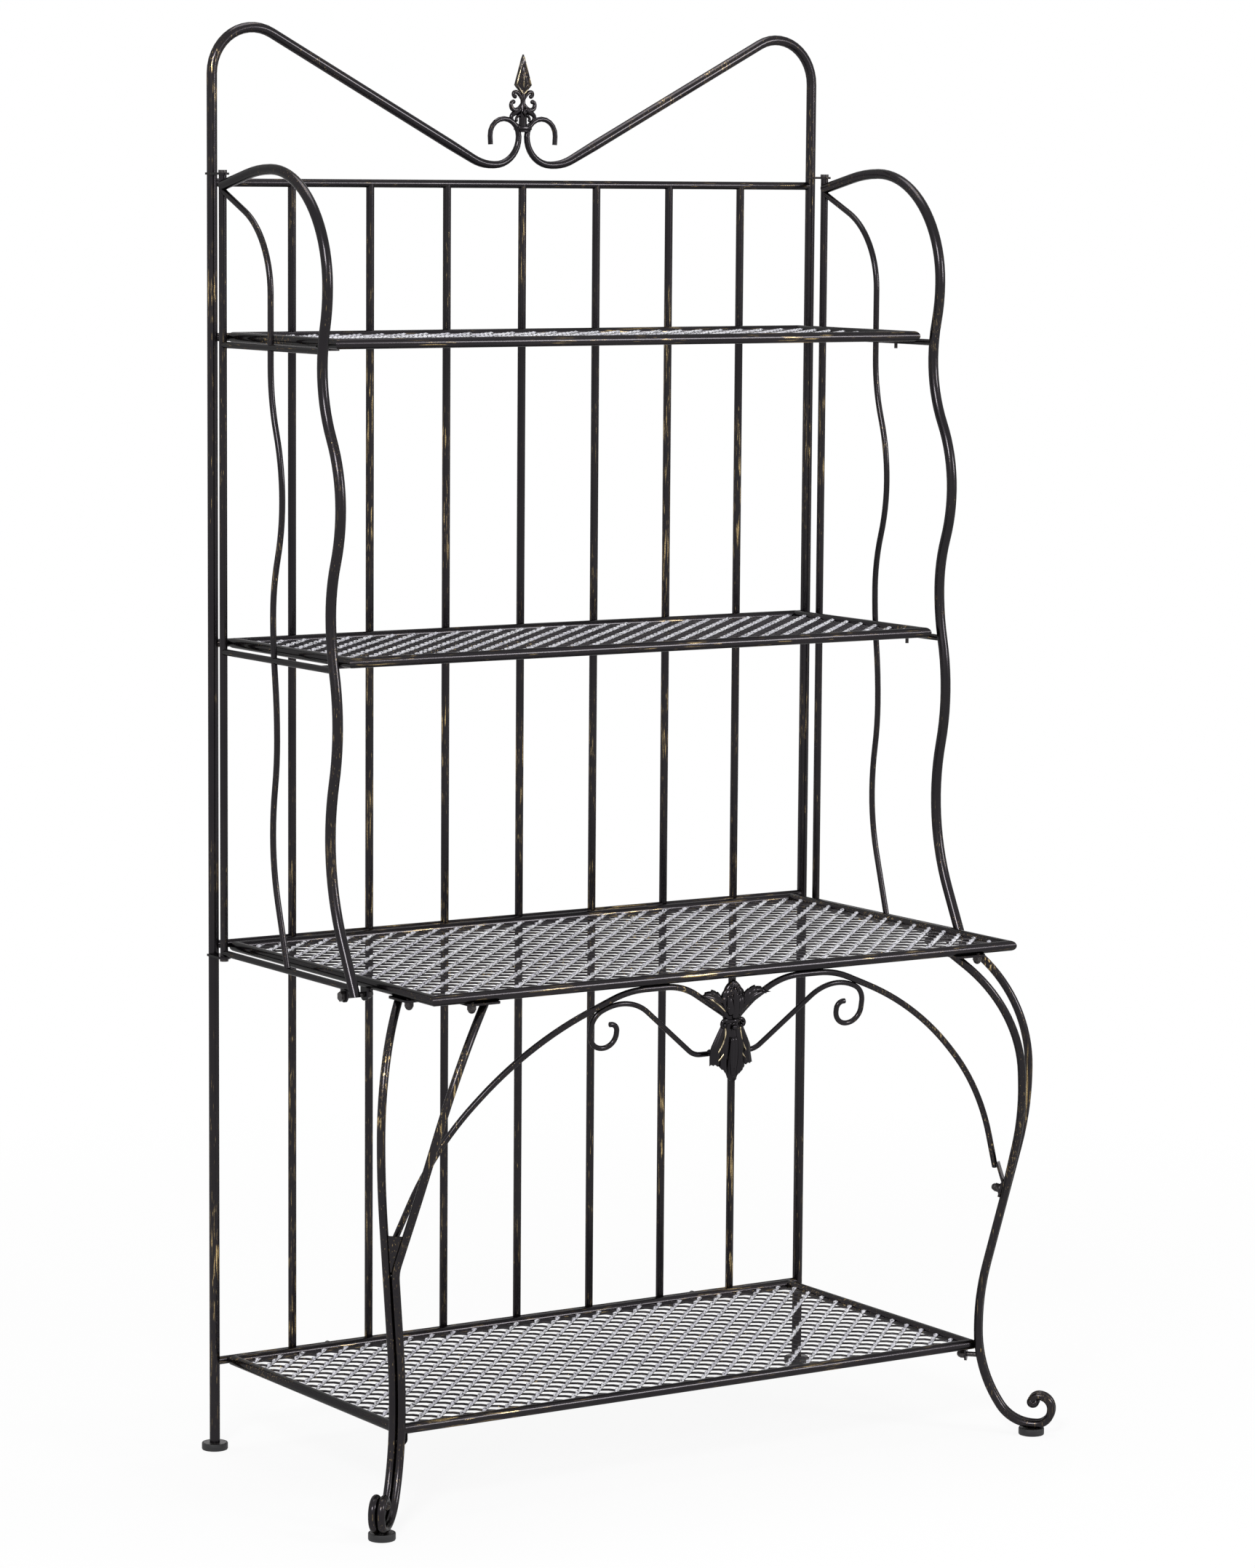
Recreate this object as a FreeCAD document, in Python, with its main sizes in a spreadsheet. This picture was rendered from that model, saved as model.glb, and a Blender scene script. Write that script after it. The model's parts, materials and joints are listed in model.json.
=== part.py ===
import FreeCAD, Part

import math
import os
import re

from FreeCAD import Placement, Rotation, Vector

# Baker's rack: a back frame of posts, rails and bars with a scrolled crown, two wavy side frames,
# four mesh shelves, two forked front legs on scroll feet and a scrolled apron under the worktop.
# Millimetres.  X runs along the rack, +Y is the back, Z is up.  Every piece is drawn about the plane
# of the back posts and its Placement then moves that plane back from the middle of the footprint.

doc = FreeCAD.newDocument("BakersRack")
sheet = doc.addObject("Spreadsheet::Sheet", "Sizes")

SIZES = [
    # back frame
    ("post_spacing", 830),
    ("post_dia", 12),
    ("tube_wall", 1),
    ("rail_dia", 9.5),
    ("bar_dia", 9.5),
    ("bar_count", 7),
    ("bottom_rail_height", 105.2),
    ("worktop_rail_height", 597.7),
    ("lower_rail_height", 947.6),
    ("upper_rail_height", 1298),
    ("top_rail_height", 1473.2),
    # crown
    ("crown_corner_height", 1683.3),
    ("crown_corner_radius", 53),
    ("crown_valley_height", 1495.9),
    ("crown_valley_reach", 55.6),
    ("crown_taper_reach", 100),
    ("crown_stem_reach", 5.65),
    ("crown_curl_height", 1549.8),
    ("crown_curl_reach", 46.3),
    ("finial_rise", 75.2),
    ("finial_depth", 9),
    # side frames
    ("side_reach", 416.5),
    ("upright_setback", 28),
    ("upright_dia", 9),
    ("upright_wall", 1.5),
    ("bracket_low_height", 587.5),
    ("bracket_high_height", 1482),
    ("bracket_width", 15),
    ("plate_gauge", 2.5),
    ("wave_dia", 12),
    ("wave_foot_height", 583.5),
    ("inner_rod_dia", 7),
    ("crossbar_dia", 7.5),
    ("worktop_crossbar_height", 591.5),
    ("shelf_crossbar_drop", 7.6),
    # shelves
    ("rim_dia", 12),
    ("mesh_gauge", 2),
    ("mesh_cell", 29.6),
    ("mesh_strand", 4),
    ("shelf_half_width", 392.3),
    ("upper_shelf_depth", 248.6),
    ("lower_shelf_depth", 279.5),
    ("worktop_half_width", 391),
    ("worktop_depth", 457.3),
    ("worktop_drop", 3),
    ("bottom_half_width", 394.2),
    ("bottom_depth", 389.7),
    ("shelf_tab_setback", 35),
    ("shelf_tab_width", 20),
    ("shelf_tab_overhang", 16),
    ("peg_dia", 4),
    ("peg_drop", 7),
    ("lug_width", 14),
    ("worktop_lug_setback", 306),
    ("worktop_lug_drop", 8),
    # legs and feet
    ("leg_dia", 9.5),
    ("scroll_reach", 652.6),
    ("scroll_height", 47.7),
    ("leg_toe_reach", 605.1),
    ("leg_shin_reach", 563.6),
    ("leg_shin_height", 76.1),
    ("leg_bend_height", 167.9),
    ("leg_fork_height", 290),
    ("leg_hip_reach", 617.6),
    ("leg_hip_height", 392.9),
    ("leg_shoulder_height", 524.9),
    ("leg_top_reach", 541.3),
    ("fork_hip_spread", 42),
    ("fork_shoulder_spread", 81),
    ("fork_top_spread", 95),
    ("gusset_height", 42),
    ("foot_reach", 629),
    ("foot_cap_dia", 30.5),
    ("foot_floor", 6),
    ("foot_disc_dia", 27),
    ("foot_disc_gauge", 2.5),
    # apron
    ("arch_dia", 7.2),
    ("apron_scroll_dia", 6),
    ("leaf_gauge", 7),
    # fasteners
    ("stud_dia", 6),
    ("stud_clearance", 0.4),
    ("nut_width", 10),
    ("nut_height", 5),
    ("washer_dia", 13),
    ("washer_gauge", 1.2),
    ("screw_head_dia", 10),
    ("screw_head_height", 3),
    ("back_screw_dia", 5),
    ("back_screw_reach", 260),
]

for row, (alias, value) in enumerate(SIZES, start=1):
    sheet.set("A{}".format(row), alias)
    sheet.set("B{}".format(row), str(value))
    sheet.setAlias("B{}".format(row), alias)
doc.recompute()


def mm(alias):
    """One size from the sheet, as a number."""
    return float(sheet.get(alias))


def bound(text):
    """An expression in which every name with an underscore is a cell of the sheet."""
    return re.sub(r"\b([a-z]+(?:_[a-z]+)+)\b", r"Sizes.\1", text)


LEG_PLANE = "(bottom_half_width - bottom_depth) / sqrt(2)"
LEG_L = (mm("bottom_half_width") - mm("bottom_depth")) / math.sqrt(2)
DISC_TOP = mm("foot_floor") + mm("foot_disc_gauge")

nodes = []


def node(piece, label):
    """Name a finished sub-part and keep it for the export."""
    piece.Label = label
    nodes.append(piece)
    return piece


def shaped(label, shape):
    """A sub-part whose shape is made here from sizes in the sheet."""
    piece = doc.addObject("Part::Feature", label)
    piece.Shape = shape
    return node(piece, label)


# ---------------------------------------------------------------- bound primitives and booleans

TURNS = {
    "X": Rotation(Vector(0, 1, 0), 90),
    "Y": Rotation(Vector(1, 0, 0), -90),
    "Z": Rotation(),
}


def bind_base(piece, at):
    for letter, text in zip("xyz", at):
        piece.setExpression("Placement.Base." + letter, bound(text))


def rod(name, dia, length, axis, at):
    """Solid round bar along one axis; its diameter, length and start are expressions."""
    piece = doc.addObject("Part::Cylinder", name)
    piece.Placement = Placement(Vector(), TURNS[axis])
    piece.setExpression("Radius", bound("({}) / 2".format(dia)))
    piece.setExpression("Height", bound(length))
    bind_base(piece, at)
    return piece


def block(name, lengths, at):
    """Rectangular block; its three lengths and its low corner are expressions."""
    piece = doc.addObject("Part::Box", name)
    for side, text in zip(("Length", "Width", "Height"), lengths):
        piece.setExpression(side, bound(text))
    bind_base(piece, at)
    return piece


def joined(name, pieces):
    if len(pieces) == 1:
        return pieces[0]
    piece = doc.addObject("Part::MultiFuse", name)
    piece.Shapes = pieces
    return piece


def group(name, pieces):
    piece = doc.addObject("Part::Compound", name)
    piece.Links = pieces
    return piece


def cut(name, base, tools):
    piece = doc.addObject("Part::Cut", name)
    piece.Base = base
    piece.Tool = joined(name + "_tools", tools)
    return piece


# ---------------------------------------------------------------- curved centre lines and sweeps


def rounded(points, radii):
    """Edges through the points, each inner corner rounded by a tangent arc of its radius."""
    edges = []
    start = points[0]
    for before, corner, after, radius in zip(points, points[1:], points[2:], radii):
        back = (before - corner).normalize()
        ahead = (after - corner).normalize()
        half = back.getAngle(ahead) / 2
        setback = radius / math.tan(half)
        first = corner + back * setback
        last = corner + ahead * setback
        middle = corner + (back + ahead).normalize() * (radius / math.sin(half) - radius)
        if (first - start).Length > 0.01:
            edges.append(Part.makeLine(start, first))
        edges.append(Part.Arc(first, middle, last).toShape())
        start = last
    if (points[-1] - start).Length > 0.01:
        edges.append(Part.makeLine(start, points[-1]))
    return edges


def wave(turns):
    """Edges of a wavy line that runs straight up at each turn (x, y, z): two equal arcs a half wave."""
    edges = []
    for low, high in zip(turns, turns[1:]):
        sway = (high.y - low.y) / 2
        rise = (high.z - low.z) / 2
        radius = (sway * sway + rise * rise) / (2 * abs(sway))
        angle = math.asin(rise / radius) / 2
        side = radius * (1 - math.cos(angle)) * (1 if sway > 0 else -1)
        lift = radius * math.sin(angle)
        centre = (low + high) / 2
        edges.append(Part.Arc(low, low + Vector(0, side, lift), centre).toShape())
        edges.append(Part.Arc(centre, high - Vector(0, side, lift), high).toShape())
    return edges


def ring(point, direction, dia):
    """Circle square to the direction; its seam is kept on the back of the rack."""
    facing = Rotation(Vector(0, 1, 0), Vector(), direction, "ZXY")
    if abs(direction.y) > 0.9:
        facing = Rotation(Vector(1, 0, 0), Vector(), direction, "ZXY")
    circle = Part.makeCircle(dia / 2)
    circle.Placement = Placement(point, facing)
    return Part.Wire([circle])


def sweep(edges, dia, wall=0):
    """Round bar, or a tube with that wall, along the edges."""
    spine = Part.Wire(edges)
    first = spine.OrderedEdges[0]
    start = first.valueAt(first.FirstParameter)
    along = first.tangentAt(first.FirstParameter)
    outside = ring(start, along, dia)
    solid = spine.makePipeShell([outside], True, False)
    if wall:
        inside = ring(start, along, dia - 2 * wall)
        solid = solid.cut(spine.makePipeShell([inside], True, False))
    return solid.Solids[0]


def taper(edges, gauges):
    """Round bar along the edges whose diameter follows (distance, diameter) pairs."""
    spine = Part.Wire(edges)
    points = []
    travelled = 0
    for edge in spine.OrderedEdges:
        steps = max(1, int(round(edge.Length / 6)))
        for step in range(steps):
            share = edge.Length * step / steps
            where = edge.getParameterByLength(share)
            points.append((travelled + share, edge.valueAt(where), edge.tangentAt(where)))
        travelled += edge.Length
    where = spine.OrderedEdges[-1].LastParameter
    points.append((travelled, spine.OrderedEdges[-1].valueAt(where), spine.OrderedEdges[-1].tangentAt(where)))
    rings = []
    for distance, point, along in points:
        for (near, thick), (far, thin) in zip(gauges, gauges[1:]):
            if near <= distance <= far:
                dia = thick + (thin - thick) * (distance - near) / (far - near)
                rings.append(ring(point, along, dia))
                break
    return Part.makeLoft(rings, True, True)


def mirrored(shape):
    return shape.mirror(Vector(0, 0, 0), Vector(1, 0, 0))


def both_sides(name, shape, right_name=None):
    """The same piece on the right and, mirrored, on the left."""
    shaped(name + "_right", shape)
    shaped(name + "_left", mirrored(shape))


def solids(shape):
    return Part.makeCompound(shape.Solids)


# ---------------------------------------------------------------- back posts and their crown

half_spacing = mm("post_spacing") / 2
slope = (mm("crown_corner_height") - mm("crown_valley_height")) / (half_spacing - mm("crown_valley_reach"))
taper_height = mm("crown_valley_height") + slope * (mm("crown_taper_reach") - mm("crown_valley_reach"))
taper_start = Vector(mm("crown_taper_reach"), 0, taper_height)

post_line = rounded(
    [
        Vector(half_spacing, 0, DISC_TOP),
        Vector(half_spacing, 0, mm("crown_corner_height")),
        taper_start,
    ],
    [mm("crown_corner_radius")],
)
scroll_line = rounded(
    [
        taper_start,
        Vector(mm("crown_valley_reach"), 0, mm("crown_valley_height")),
        Vector(mm("crown_stem_reach"), 0, mm("crown_valley_height")),
        Vector(mm("crown_stem_reach"), 0, mm("crown_curl_height")),
        Vector(mm("crown_curl_reach"), 0, mm("crown_curl_height")),
        Vector(mm("crown_curl_reach") - 1.8, 0, mm("crown_curl_height") - 30.2),
    ],
    [60, 33, 20.3, 19],
)
post_tube = sweep(post_line, mm("post_dia"), mm("tube_wall"))
post_scroll = taper(
    scroll_line,
    [(0, mm("post_dia")), (18, 11.4), (45, 10.4), (60, 9.2), (72, 8.4), (100, 7.6), (125, 6.8), (150, 6), (400, 5)],
)
post = post_tube.fuse(post_scroll)
both_sides("back_post", post.Solids[0])

post_cores = [
    rod("post_core_right", "post_dia", "crown_valley_height", "Z", ("post_spacing / 2", "0", "0")),
    rod("post_core_left", "post_dia", "crown_valley_height", "Z", ("-post_spacing / 2", "0", "0")),
]

# ---------------------------------------------------------------- rails and bars of the back frame

RAILS = {
    "bottom_rail": "bottom_rail_height",
    "worktop_rail": "worktop_rail_height",
    "lower_shelf_rail": "lower_rail_height",
    "upper_shelf_rail": "upper_rail_height",
    "top_rail": "top_rail_height",
}
SCREW_DROPS = {
    "bottom_rail": "0",
    "worktop_rail": "worktop_drop / 2",
    "lower_shelf_rail": "0",
    "upper_shelf_rail": "0",
}

rail_cores = {}
for label, height in RAILS.items():
    start = ("-post_spacing / 2", "0", height)
    core = rod(label + "_core", "rail_dia", "post_spacing", "X", start)
    bore = rod(label + "_bore", "rail_dia - 2 * tube_wall", "post_spacing", "X", start)
    rail_cores[label] = core
    tools = [bore] + post_cores
    if label in SCREW_DROPS:
        for side, sign in (("right", ""), ("left", "-")):
            at = (sign + "back_screw_reach", "-rail_dia", "{} - {}".format(height, SCREW_DROPS[label]))
            hole = rod(label + "_screw_hole_" + side, "back_screw_dia", "2 * rail_dia", "Y", at)
            tools.append(hole)
    node(cut(label, core, tools), label)

BAYS = [
    ("bars_bottom_bay", "bottom_rail", "worktop_rail"),
    ("bars_worktop_bay", "worktop_rail", "lower_shelf_rail"),
    ("bars_lower_shelf_bay", "lower_shelf_rail", "upper_shelf_rail"),
    ("bars_top_bay", "upper_shelf_rail", "top_rail"),
]
for label, low, high in BAYS:
    bars = []
    bores = []
    low_height = RAILS[low]
    rise = "{} - {}".format(RAILS[high], low_height)
    for number in range(1, int(mm("bar_count")) + 1):
        across = "post_spacing * ({} / (bar_count + 1) - 0.5)".format(number)
        at = (across, "0", low_height)
        bars.append(rod("{}_bar_{}".format(label, number), "bar_dia", rise, "Z", at))
        bores.append(rod("{}_bore_{}".format(label, number), "bar_dia - 2 * tube_wall", rise, "Z", at))
    ends = [rail_cores[low], rail_cores[high]]
    node(cut(label, group(label + "_rods", bars), bores + ends), label)

# ---------------------------------------------------------------- finial between the crown's scrolls

# across from the middle, and up from the top of the scrolls' curls
SPEAR = [(0, 75.2), (3.4, 66), (7.6, 51), (10.6, 43), (11.2, 39.5), (9.6, 36), (6, 34.2), (6, 32)]
HOOKS = [
    (10, 32.6),
    (14.5, 30.7),
    (14.4, 27.6),
    (12, 26.2),
    (9, 27.4),
    (3.4, 25),
    (3.4, 22.2),
    (8, 21.2),
    (14, 20.5),
    (17.2, 18.6),
    (18, 15.7),
    (15.5, 13.6),
    (10.5, 14.6),
    (9, 11),
    (14, 8.4),
    (17.5, 2.7),
    (16.4, -2.6),
    (12, -7.4),
    (8.9, -8.9),
    (8.9, -12.8),
    (4, -13.4),
    (4, -46.8),
]
EYE = [(3, 7), (8.6, 5.2), (11.4, 1.8), (9.6, -1.6), (4.2, 2)]
curl_top = mm("crown_curl_height")
stretch = mm("finial_rise") / 75.2
half_outline = [(x, curl_top + z * stretch) for x, z in SPEAR] + [(x, curl_top + z) for x, z in HOOKS]
outline = [Vector(x, 0, z) for x, z in half_outline]
outline += [Vector(-x, 0, z) for x, z in reversed(half_outline[1:])]
finial_face = Part.Face(Part.makePolygon(outline + outline[:1]))
for sign in (1, -1):
    eye = [Vector(sign * x, 0, curl_top + z) for x, z in EYE]
    finial_face = finial_face.cut(Part.Face(Part.makePolygon(eye + eye[:1])))
depth = mm("finial_depth")
finial = finial_face.extrude(Vector(0, depth, 0))
finial.translate(Vector(0, -depth / 2, 0))
finial = finial.cut(post).cut(mirrored(post))
shaped("crown_finial", max(finial.Solids, key=lambda solid: solid.Volume))

# ---------------------------------------------------------------- side frames: brackets and uprights

brackets = []
screws = []
for side, sign in (("right", ""), ("left", "-")):
    centre = sign + "side_reach"
    upright_start = (centre, "-upright_setback", "bracket_low_height")
    upright_length = "bracket_high_height - bracket_low_height"
    outside = rod("upright_core_" + side, "upright_dia", upright_length, "Z", upright_start)
    bore_dia = "upright_dia - 2 * upright_wall"
    bore = rod("upright_bore_" + side, bore_dia, upright_length, "Z", upright_start)
    node(cut("side_upright_" + side, outside, [bore]), "side_upright_" + side)
    levels = (
        ("low", "bracket_low_height - plate_gauge", "bracket_low_height - plate_gauge - screw_head_height"),
        ("high", "bracket_high_height", "bracket_high_height + plate_gauge"),
    )
    for level, plate_height, head_height in levels:
        name = "bracket_{}_{}".format(level, side)
        corner = (centre + " - bracket_width / 2", "-upright_setback", plate_height)
        strip = block(name + "_strip", ("bracket_width", "upright_setback", "plate_gauge"), corner)
        at = (centre, "-upright_setback", plate_height)
        nose = rod(name + "_nose", "bracket_width", "plate_gauge", "Z", at)
        hole = rod(name + "_hole", bore_dia, "plate_gauge", "Z", at)
        brackets.append(cut(name, joined(name + "_plate", [strip, nose]), [hole] + post_cores))
        head_at = (centre, "-upright_setback", head_height)
        head = rod(name + "_screw_head", "screw_head_dia", "screw_head_height", "Z", head_at)
        into = "bracket_low_height - plate_gauge" if level == "low" else "bracket_high_height + plate_gauge - 20"
        shank = rod(name + "_screw_shank", bore_dia, "20", "Z", (centre, "-upright_setback", into))
        screws.append(joined(name + "_screw", [head, shank]))
node(group("side_frame_brackets", brackets), "side_frame_brackets")
node(group("side_frame_screws", screws), "side_frame_screws")

# ---------------------------------------------------------------- side frames: wave tubes and rods

side_x = mm("side_reach")


def at_side(y, z):
    return Vector(side_x, y, z)


upright_core = Part.makeCylinder(mm("upright_dia") / 2, 1000, at_side(-mm("upright_setback"), 550))
wave_turns = [
    at_side(-274.5, 752),
    at_side(-290.5, 877),
    at_side(-275, 1000),
    at_side(-296.7, 1118),
    at_side(-256, 1272),
    at_side(-267.6, 1360),
]
wave_line = rounded([at_side(-333, 577), at_side(-274.5, 693), wave_turns[0]], [245])
wave_line += wave(wave_turns)
wave_line += rounded(
    [wave_turns[-1], at_side(-267.6, 1488.6), at_side(-112, 1488.6), at_side(-mm("upright_setback"), 1470.1)],
    [127, 250],
)
wave_tube = sweep(wave_line, mm("wave_dia"), mm("tube_wall"))
below = Part.makeBox(60, 60, 60, at_side(-360, mm("wave_foot_height") - 60) - Vector(30, 0, 0))
wave_tube = wave_tube.cut(below).cut(upright_core)
both_sides("side_wave", max(wave_tube.Solids, key=lambda solid: solid.Volume))
wave_core = sweep(wave_line, mm("wave_dia"))

crossbar_heights = {
    "worktop": mm("worktop_crossbar_height"),
    "lower_shelf": mm("lower_rail_height") - mm("shelf_crossbar_drop"),
    "upper_shelf": mm("upper_rail_height") - mm("shelf_crossbar_drop"),
}
crossbar_cores = {}
crossbars = []
for shelf, height in crossbar_heights.items():
    start = at_side(-mm("upright_setback"), height)
    core = Part.makeCylinder(mm("crossbar_dia") / 2, 300, start, Vector(0, -1, 0))
    crossbar_cores[shelf] = core
    pieces = core.cut(wave_core).cut(upright_core)
    crossbars.append(min(pieces.Solids, key=lambda solid: -solid.CenterOfMass.y))

rod_turns = [
    at_side(-144, 742),
    at_side(-153.5, 850),
    at_side(-144.5, 990),
    at_side(-165.6, 1120),
    at_side(-139.3, 1270),
]
rod_line = rounded([at_side(-177.8, mm("worktop_crossbar_height")), at_side(-144, 703), rod_turns[0]], [260])
rod_line += wave(rod_turns)
rod_line += rounded([rod_turns[-1], at_side(-139.3, 1415), at_side(-mm("upright_setback"), 1464.6)], [100])
inner_rod = sweep(rod_line, mm("inner_rod_dia")).cut(upright_core)
for core in crossbar_cores.values():
    inner_rod = inner_rod.cut(core)
rod_lengths = [solid for solid in inner_rod.Solids if solid.Volume > 200]
both_sides("side_rod", Part.makeCompound(rod_lengths))


def lug(x, y, z_low, z_high, hole_z):
    """Upright plate with a round lower end and a hole, thin along X."""
    gauge = mm("plate_gauge")
    width = mm("lug_width")
    corner = Vector(x - gauge / 2, y - width / 2, hole_z)
    plate = Part.makeBox(gauge, width, z_high - hole_z, corner)
    end = Part.makeCylinder(width / 2, gauge, Vector(x - gauge / 2, y, hole_z), Vector(1, 0, 0))
    bolt = (mm("stud_dia") + mm("stud_clearance")) / 2
    hole = Part.makeCylinder(bolt, 2 * gauge, Vector(x - gauge, y, hole_z), Vector(1, 0, 0))
    return plate.fuse(end).cut(hole)


lug_y = -mm("worktop_lug_setback")
bolt_z = mm("worktop_rail_height") - mm("worktop_drop") - mm("rim_dia") / 2 - mm("worktop_lug_drop")
outer_lug = lug(side_x, lug_y, bolt_z, mm("worktop_crossbar_height"), bolt_z).cut(crossbar_cores["worktop"])
outer_lug = min(outer_lug.Solids, key=lambda solid: solid.CenterOfMass.z)
both_sides("side_crossbars", Part.makeCompound(crossbars + [outer_lug.cut(wave_core)]))

# ---------------------------------------------------------------- shelf rims

SHELVES = {
    "upper_shelf": (mm("upper_rail_height"), mm("shelf_half_width"), mm("upper_shelf_depth"), 0),
    "lower_shelf": (mm("lower_rail_height"), mm("shelf_half_width"), mm("lower_shelf_depth"), 0),
    "worktop": (
        mm("worktop_rail_height") - mm("worktop_drop"),
        mm("worktop_half_width"),
        mm("worktop_depth"),
        mm("worktop_drop"),
    ),
    "bottom_shelf": (mm("bottom_rail_height"), mm("bottom_half_width"), mm("bottom_depth"), 0),
}
rim_dia = mm("rim_dia")
touch = (mm("rail_dia") + rim_dia) / 2


def back_y(drop):
    """Centre of a back rim that just touches its rail."""
    return -math.sqrt(touch * touch - drop * drop)


def rim_side(first, last, inward):
    """One straight side of a rim between two corner points, mitred at 45 degrees."""
    along = (last - first).normalize()
    start = first - along * 20
    length = (last - first).Length + 40
    tube = Part.makeCylinder(rim_dia / 2, length, start, along)
    bore = Part.makeCylinder(rim_dia / 2 - mm("tube_wall"), length, start, along)
    drop = Vector(0, 0, -rim_dia)
    corners = [
        first - (along + inward) * 15 + drop,
        last + (along - inward) * 15 + drop,
        last - (along - inward) * 15 + drop,
        first + (along + inward) * 15 + drop,
    ]
    mitre = Part.Face(Part.makePolygon(corners + corners[:1])).extrude(Vector(0, 0, 2 * rim_dia))
    return tube.common(mitre).cut(bore)


rims = {}
rim_cores = {}
back_screws = []
for shelf, (height, half_width, reach, drop) in SHELVES.items():
    back = back_y(drop)
    corners = [
        Vector(-half_width, -reach, height),
        Vector(half_width, -reach, height),
        Vector(half_width, back, height),
        Vector(-half_width, back, height),
    ]
    inwards = [Vector(0, 1, 0), Vector(-1, 0, 0), Vector(0, -1, 0), Vector(1, 0, 0)]
    sides = []
    cores = []
    for number in range(4):
        first = corners[number]
        last = corners[(number + 1) % 4]
        sides.append(rim_side(first, last, inwards[number]))
        along = (last - first).normalize()
        cores.append(Part.makeCylinder(rim_dia / 2, (last - first).Length, first, along))
    screw_z = height + drop / 2
    for sign in (1, -1):
        hole_at = Vector(sign * mm("back_screw_reach"), back - 1, screw_z)
        hole = Part.makeCylinder(mm("back_screw_dia") / 2, rim_dia, hole_at, Vector(0, 1, 0))
        sides[2] = sides[2].cut(hole)
        head_at = Vector(sign * mm("back_screw_reach"), mm("rail_dia") / 2 - 0.4, screw_z)
        shank = Part.makeCylinder(mm("back_screw_dia") / 2, head_at.y - back + 1, hole_at, Vector(0, 1, 0))
        head = Part.makeCylinder(mm("back_screw_dia") * 0.85, 3, head_at, Vector(0, 1, 0))
        rail_at = Vector(sign * mm("back_screw_reach") - 20, 0, height + drop)
        rail = Part.makeCylinder(mm("rail_dia") / 2, 40, rail_at, Vector(1, 0, 0))
        back_screws.append(shank.fuse(head.cut(rail)).Solids[0])
    rims[shelf] = Part.makeCompound(sides)
    rim_cores[shelf] = cores

# ---------------------------------------------------------------- mesh panels


def clipped(points, low, high):
    """The part of a convex outline inside the rectangle between two corners."""
    limits = ((0, low[0], 1), (0, high[0], -1), (1, low[1], 1), (1, high[1], -1))
    for letter, limit, sign in limits:
        kept = []
        for here, after in zip(points, points[1:] + points[:1]):
            inside = sign * (here[letter] - limit)
            beyond = sign * (after[letter] - limit)
            if inside >= 0:
                kept.append(here)
            if inside * beyond < 0:
                share = inside / (inside - beyond)
                kept.append(tuple(a + (b - a) * share for a, b in zip(here, after)))
        points = kept
        if len(points) < 3:
            return []
    return points


def area(points):
    total = 0
    for here, after in zip(points, points[1:] + points[:1]):
        total += here[0] * after[1] - after[0] * here[1]
    return abs(total) / 2


def mesh_panel(low, high, base):
    """Diamond mesh that fills the rectangle between two corners, with a thin border to weld."""
    cell = mm("mesh_cell")
    half = (cell - mm("mesh_strand") * math.sqrt(2)) / 2
    border = mm("mesh_strand") / 2
    inner_low = (low[0] + border, low[1] + border)
    inner_high = (high[0] - border, high[1] - border)
    columns = int(high[0] / cell) + 1
    rows = int((high[1] - low[1]) / cell) + 1
    middle = (low[1] + high[1]) / 2
    edge = (low, (high[0], low[1]), high, (low[0], high[1]), low)
    wires = [Part.makePolygon([Vector(x, y, base) for x, y in edge])]
    for column in range(-2 * columns, 2 * columns + 1):
        for row in range(-rows, rows + 1):
            if (column + row) % 2:
                continue
            x = column * cell / 2
            y = middle + row * cell / 2
            diamond = [(x + half, y), (x, y + half), (x - half, y), (x, y - half)]
            hole = clipped(diamond, inner_low, inner_high)
            if hole and area(hole) > cell:
                wires.append(Part.makePolygon([Vector(a, b, base) for a, b in hole + hole[:1]]).reversed())
    return Part.Face(wires).extrude(Vector(0, 0, mm("mesh_gauge")))


for shelf, (height, half_width, reach, drop) in SHELVES.items():
    inner = half_width - rim_dia / 2
    front = -reach + rim_dia / 2
    rear = back_y(drop) - rim_dia / 2
    rise = mm("mesh_gauge") / 2
    panel = mesh_panel((-inner, front), (inner, rear), height - rise)
    shaped(shelf + "_mesh", panel.Solids[0])

# ---------------------------------------------------------------- tabs and pegs of the two shelves

pegs = []
for side, sign in (("right", 1), ("left", -1)):
    tabs = []
    for shelf in ("lower_shelf", "upper_shelf"):
        height, half_width, reach, drop = SHELVES[shelf]
        tab_y = -reach + mm("shelf_tab_setback")
        top = height - rim_dia / 2
        inner = half_width - mm("shelf_tab_overhang")
        width = mm("shelf_tab_width")
        tab = Part.makeBox(side_x - inner, width, mm("plate_gauge"), Vector(inner, tab_y - width / 2, top - mm("plate_gauge")))
        hole_at = Vector(half_width, tab_y, top - 2 * mm("plate_gauge"))
        hole = Part.makeCylinder((mm("peg_dia") + 0.6) / 2, 3 * mm("plate_gauge"), hole_at)
        tab = tab.cut(crossbar_cores[shelf]).cut(hole)
        tab = min(tab.Solids, key=lambda solid: solid.CenterOfMass.x)
        peg_at = Vector(half_width, tab_y, top - mm("plate_gauge") - mm("peg_drop"))
        peg = Part.makeCylinder(mm("peg_dia") / 2, mm("plate_gauge") + mm("peg_drop") + 2, peg_at)
        for core in rim_cores[shelf]:
            peg = peg.cut(core)
        tabs.append(tab if sign > 0 else mirrored(tab))
        pegs.append(peg.Solids[0] if sign > 0 else mirrored(peg.Solids[0]))
    shaped("shelf_tabs_" + side, Part.makeCompound(tabs))
shaped("shelf_pegs", Part.makeCompound(pegs))

# ---------------------------------------------------------------- front legs

# A leg lies along the diagonal of its corner: reach runs outward along the diagonal, spread across it.


def at_leg(reach, spread, height):
    return Vector((reach + spread) / math.sqrt(2), (spread - reach) / math.sqrt(2), height)


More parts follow.
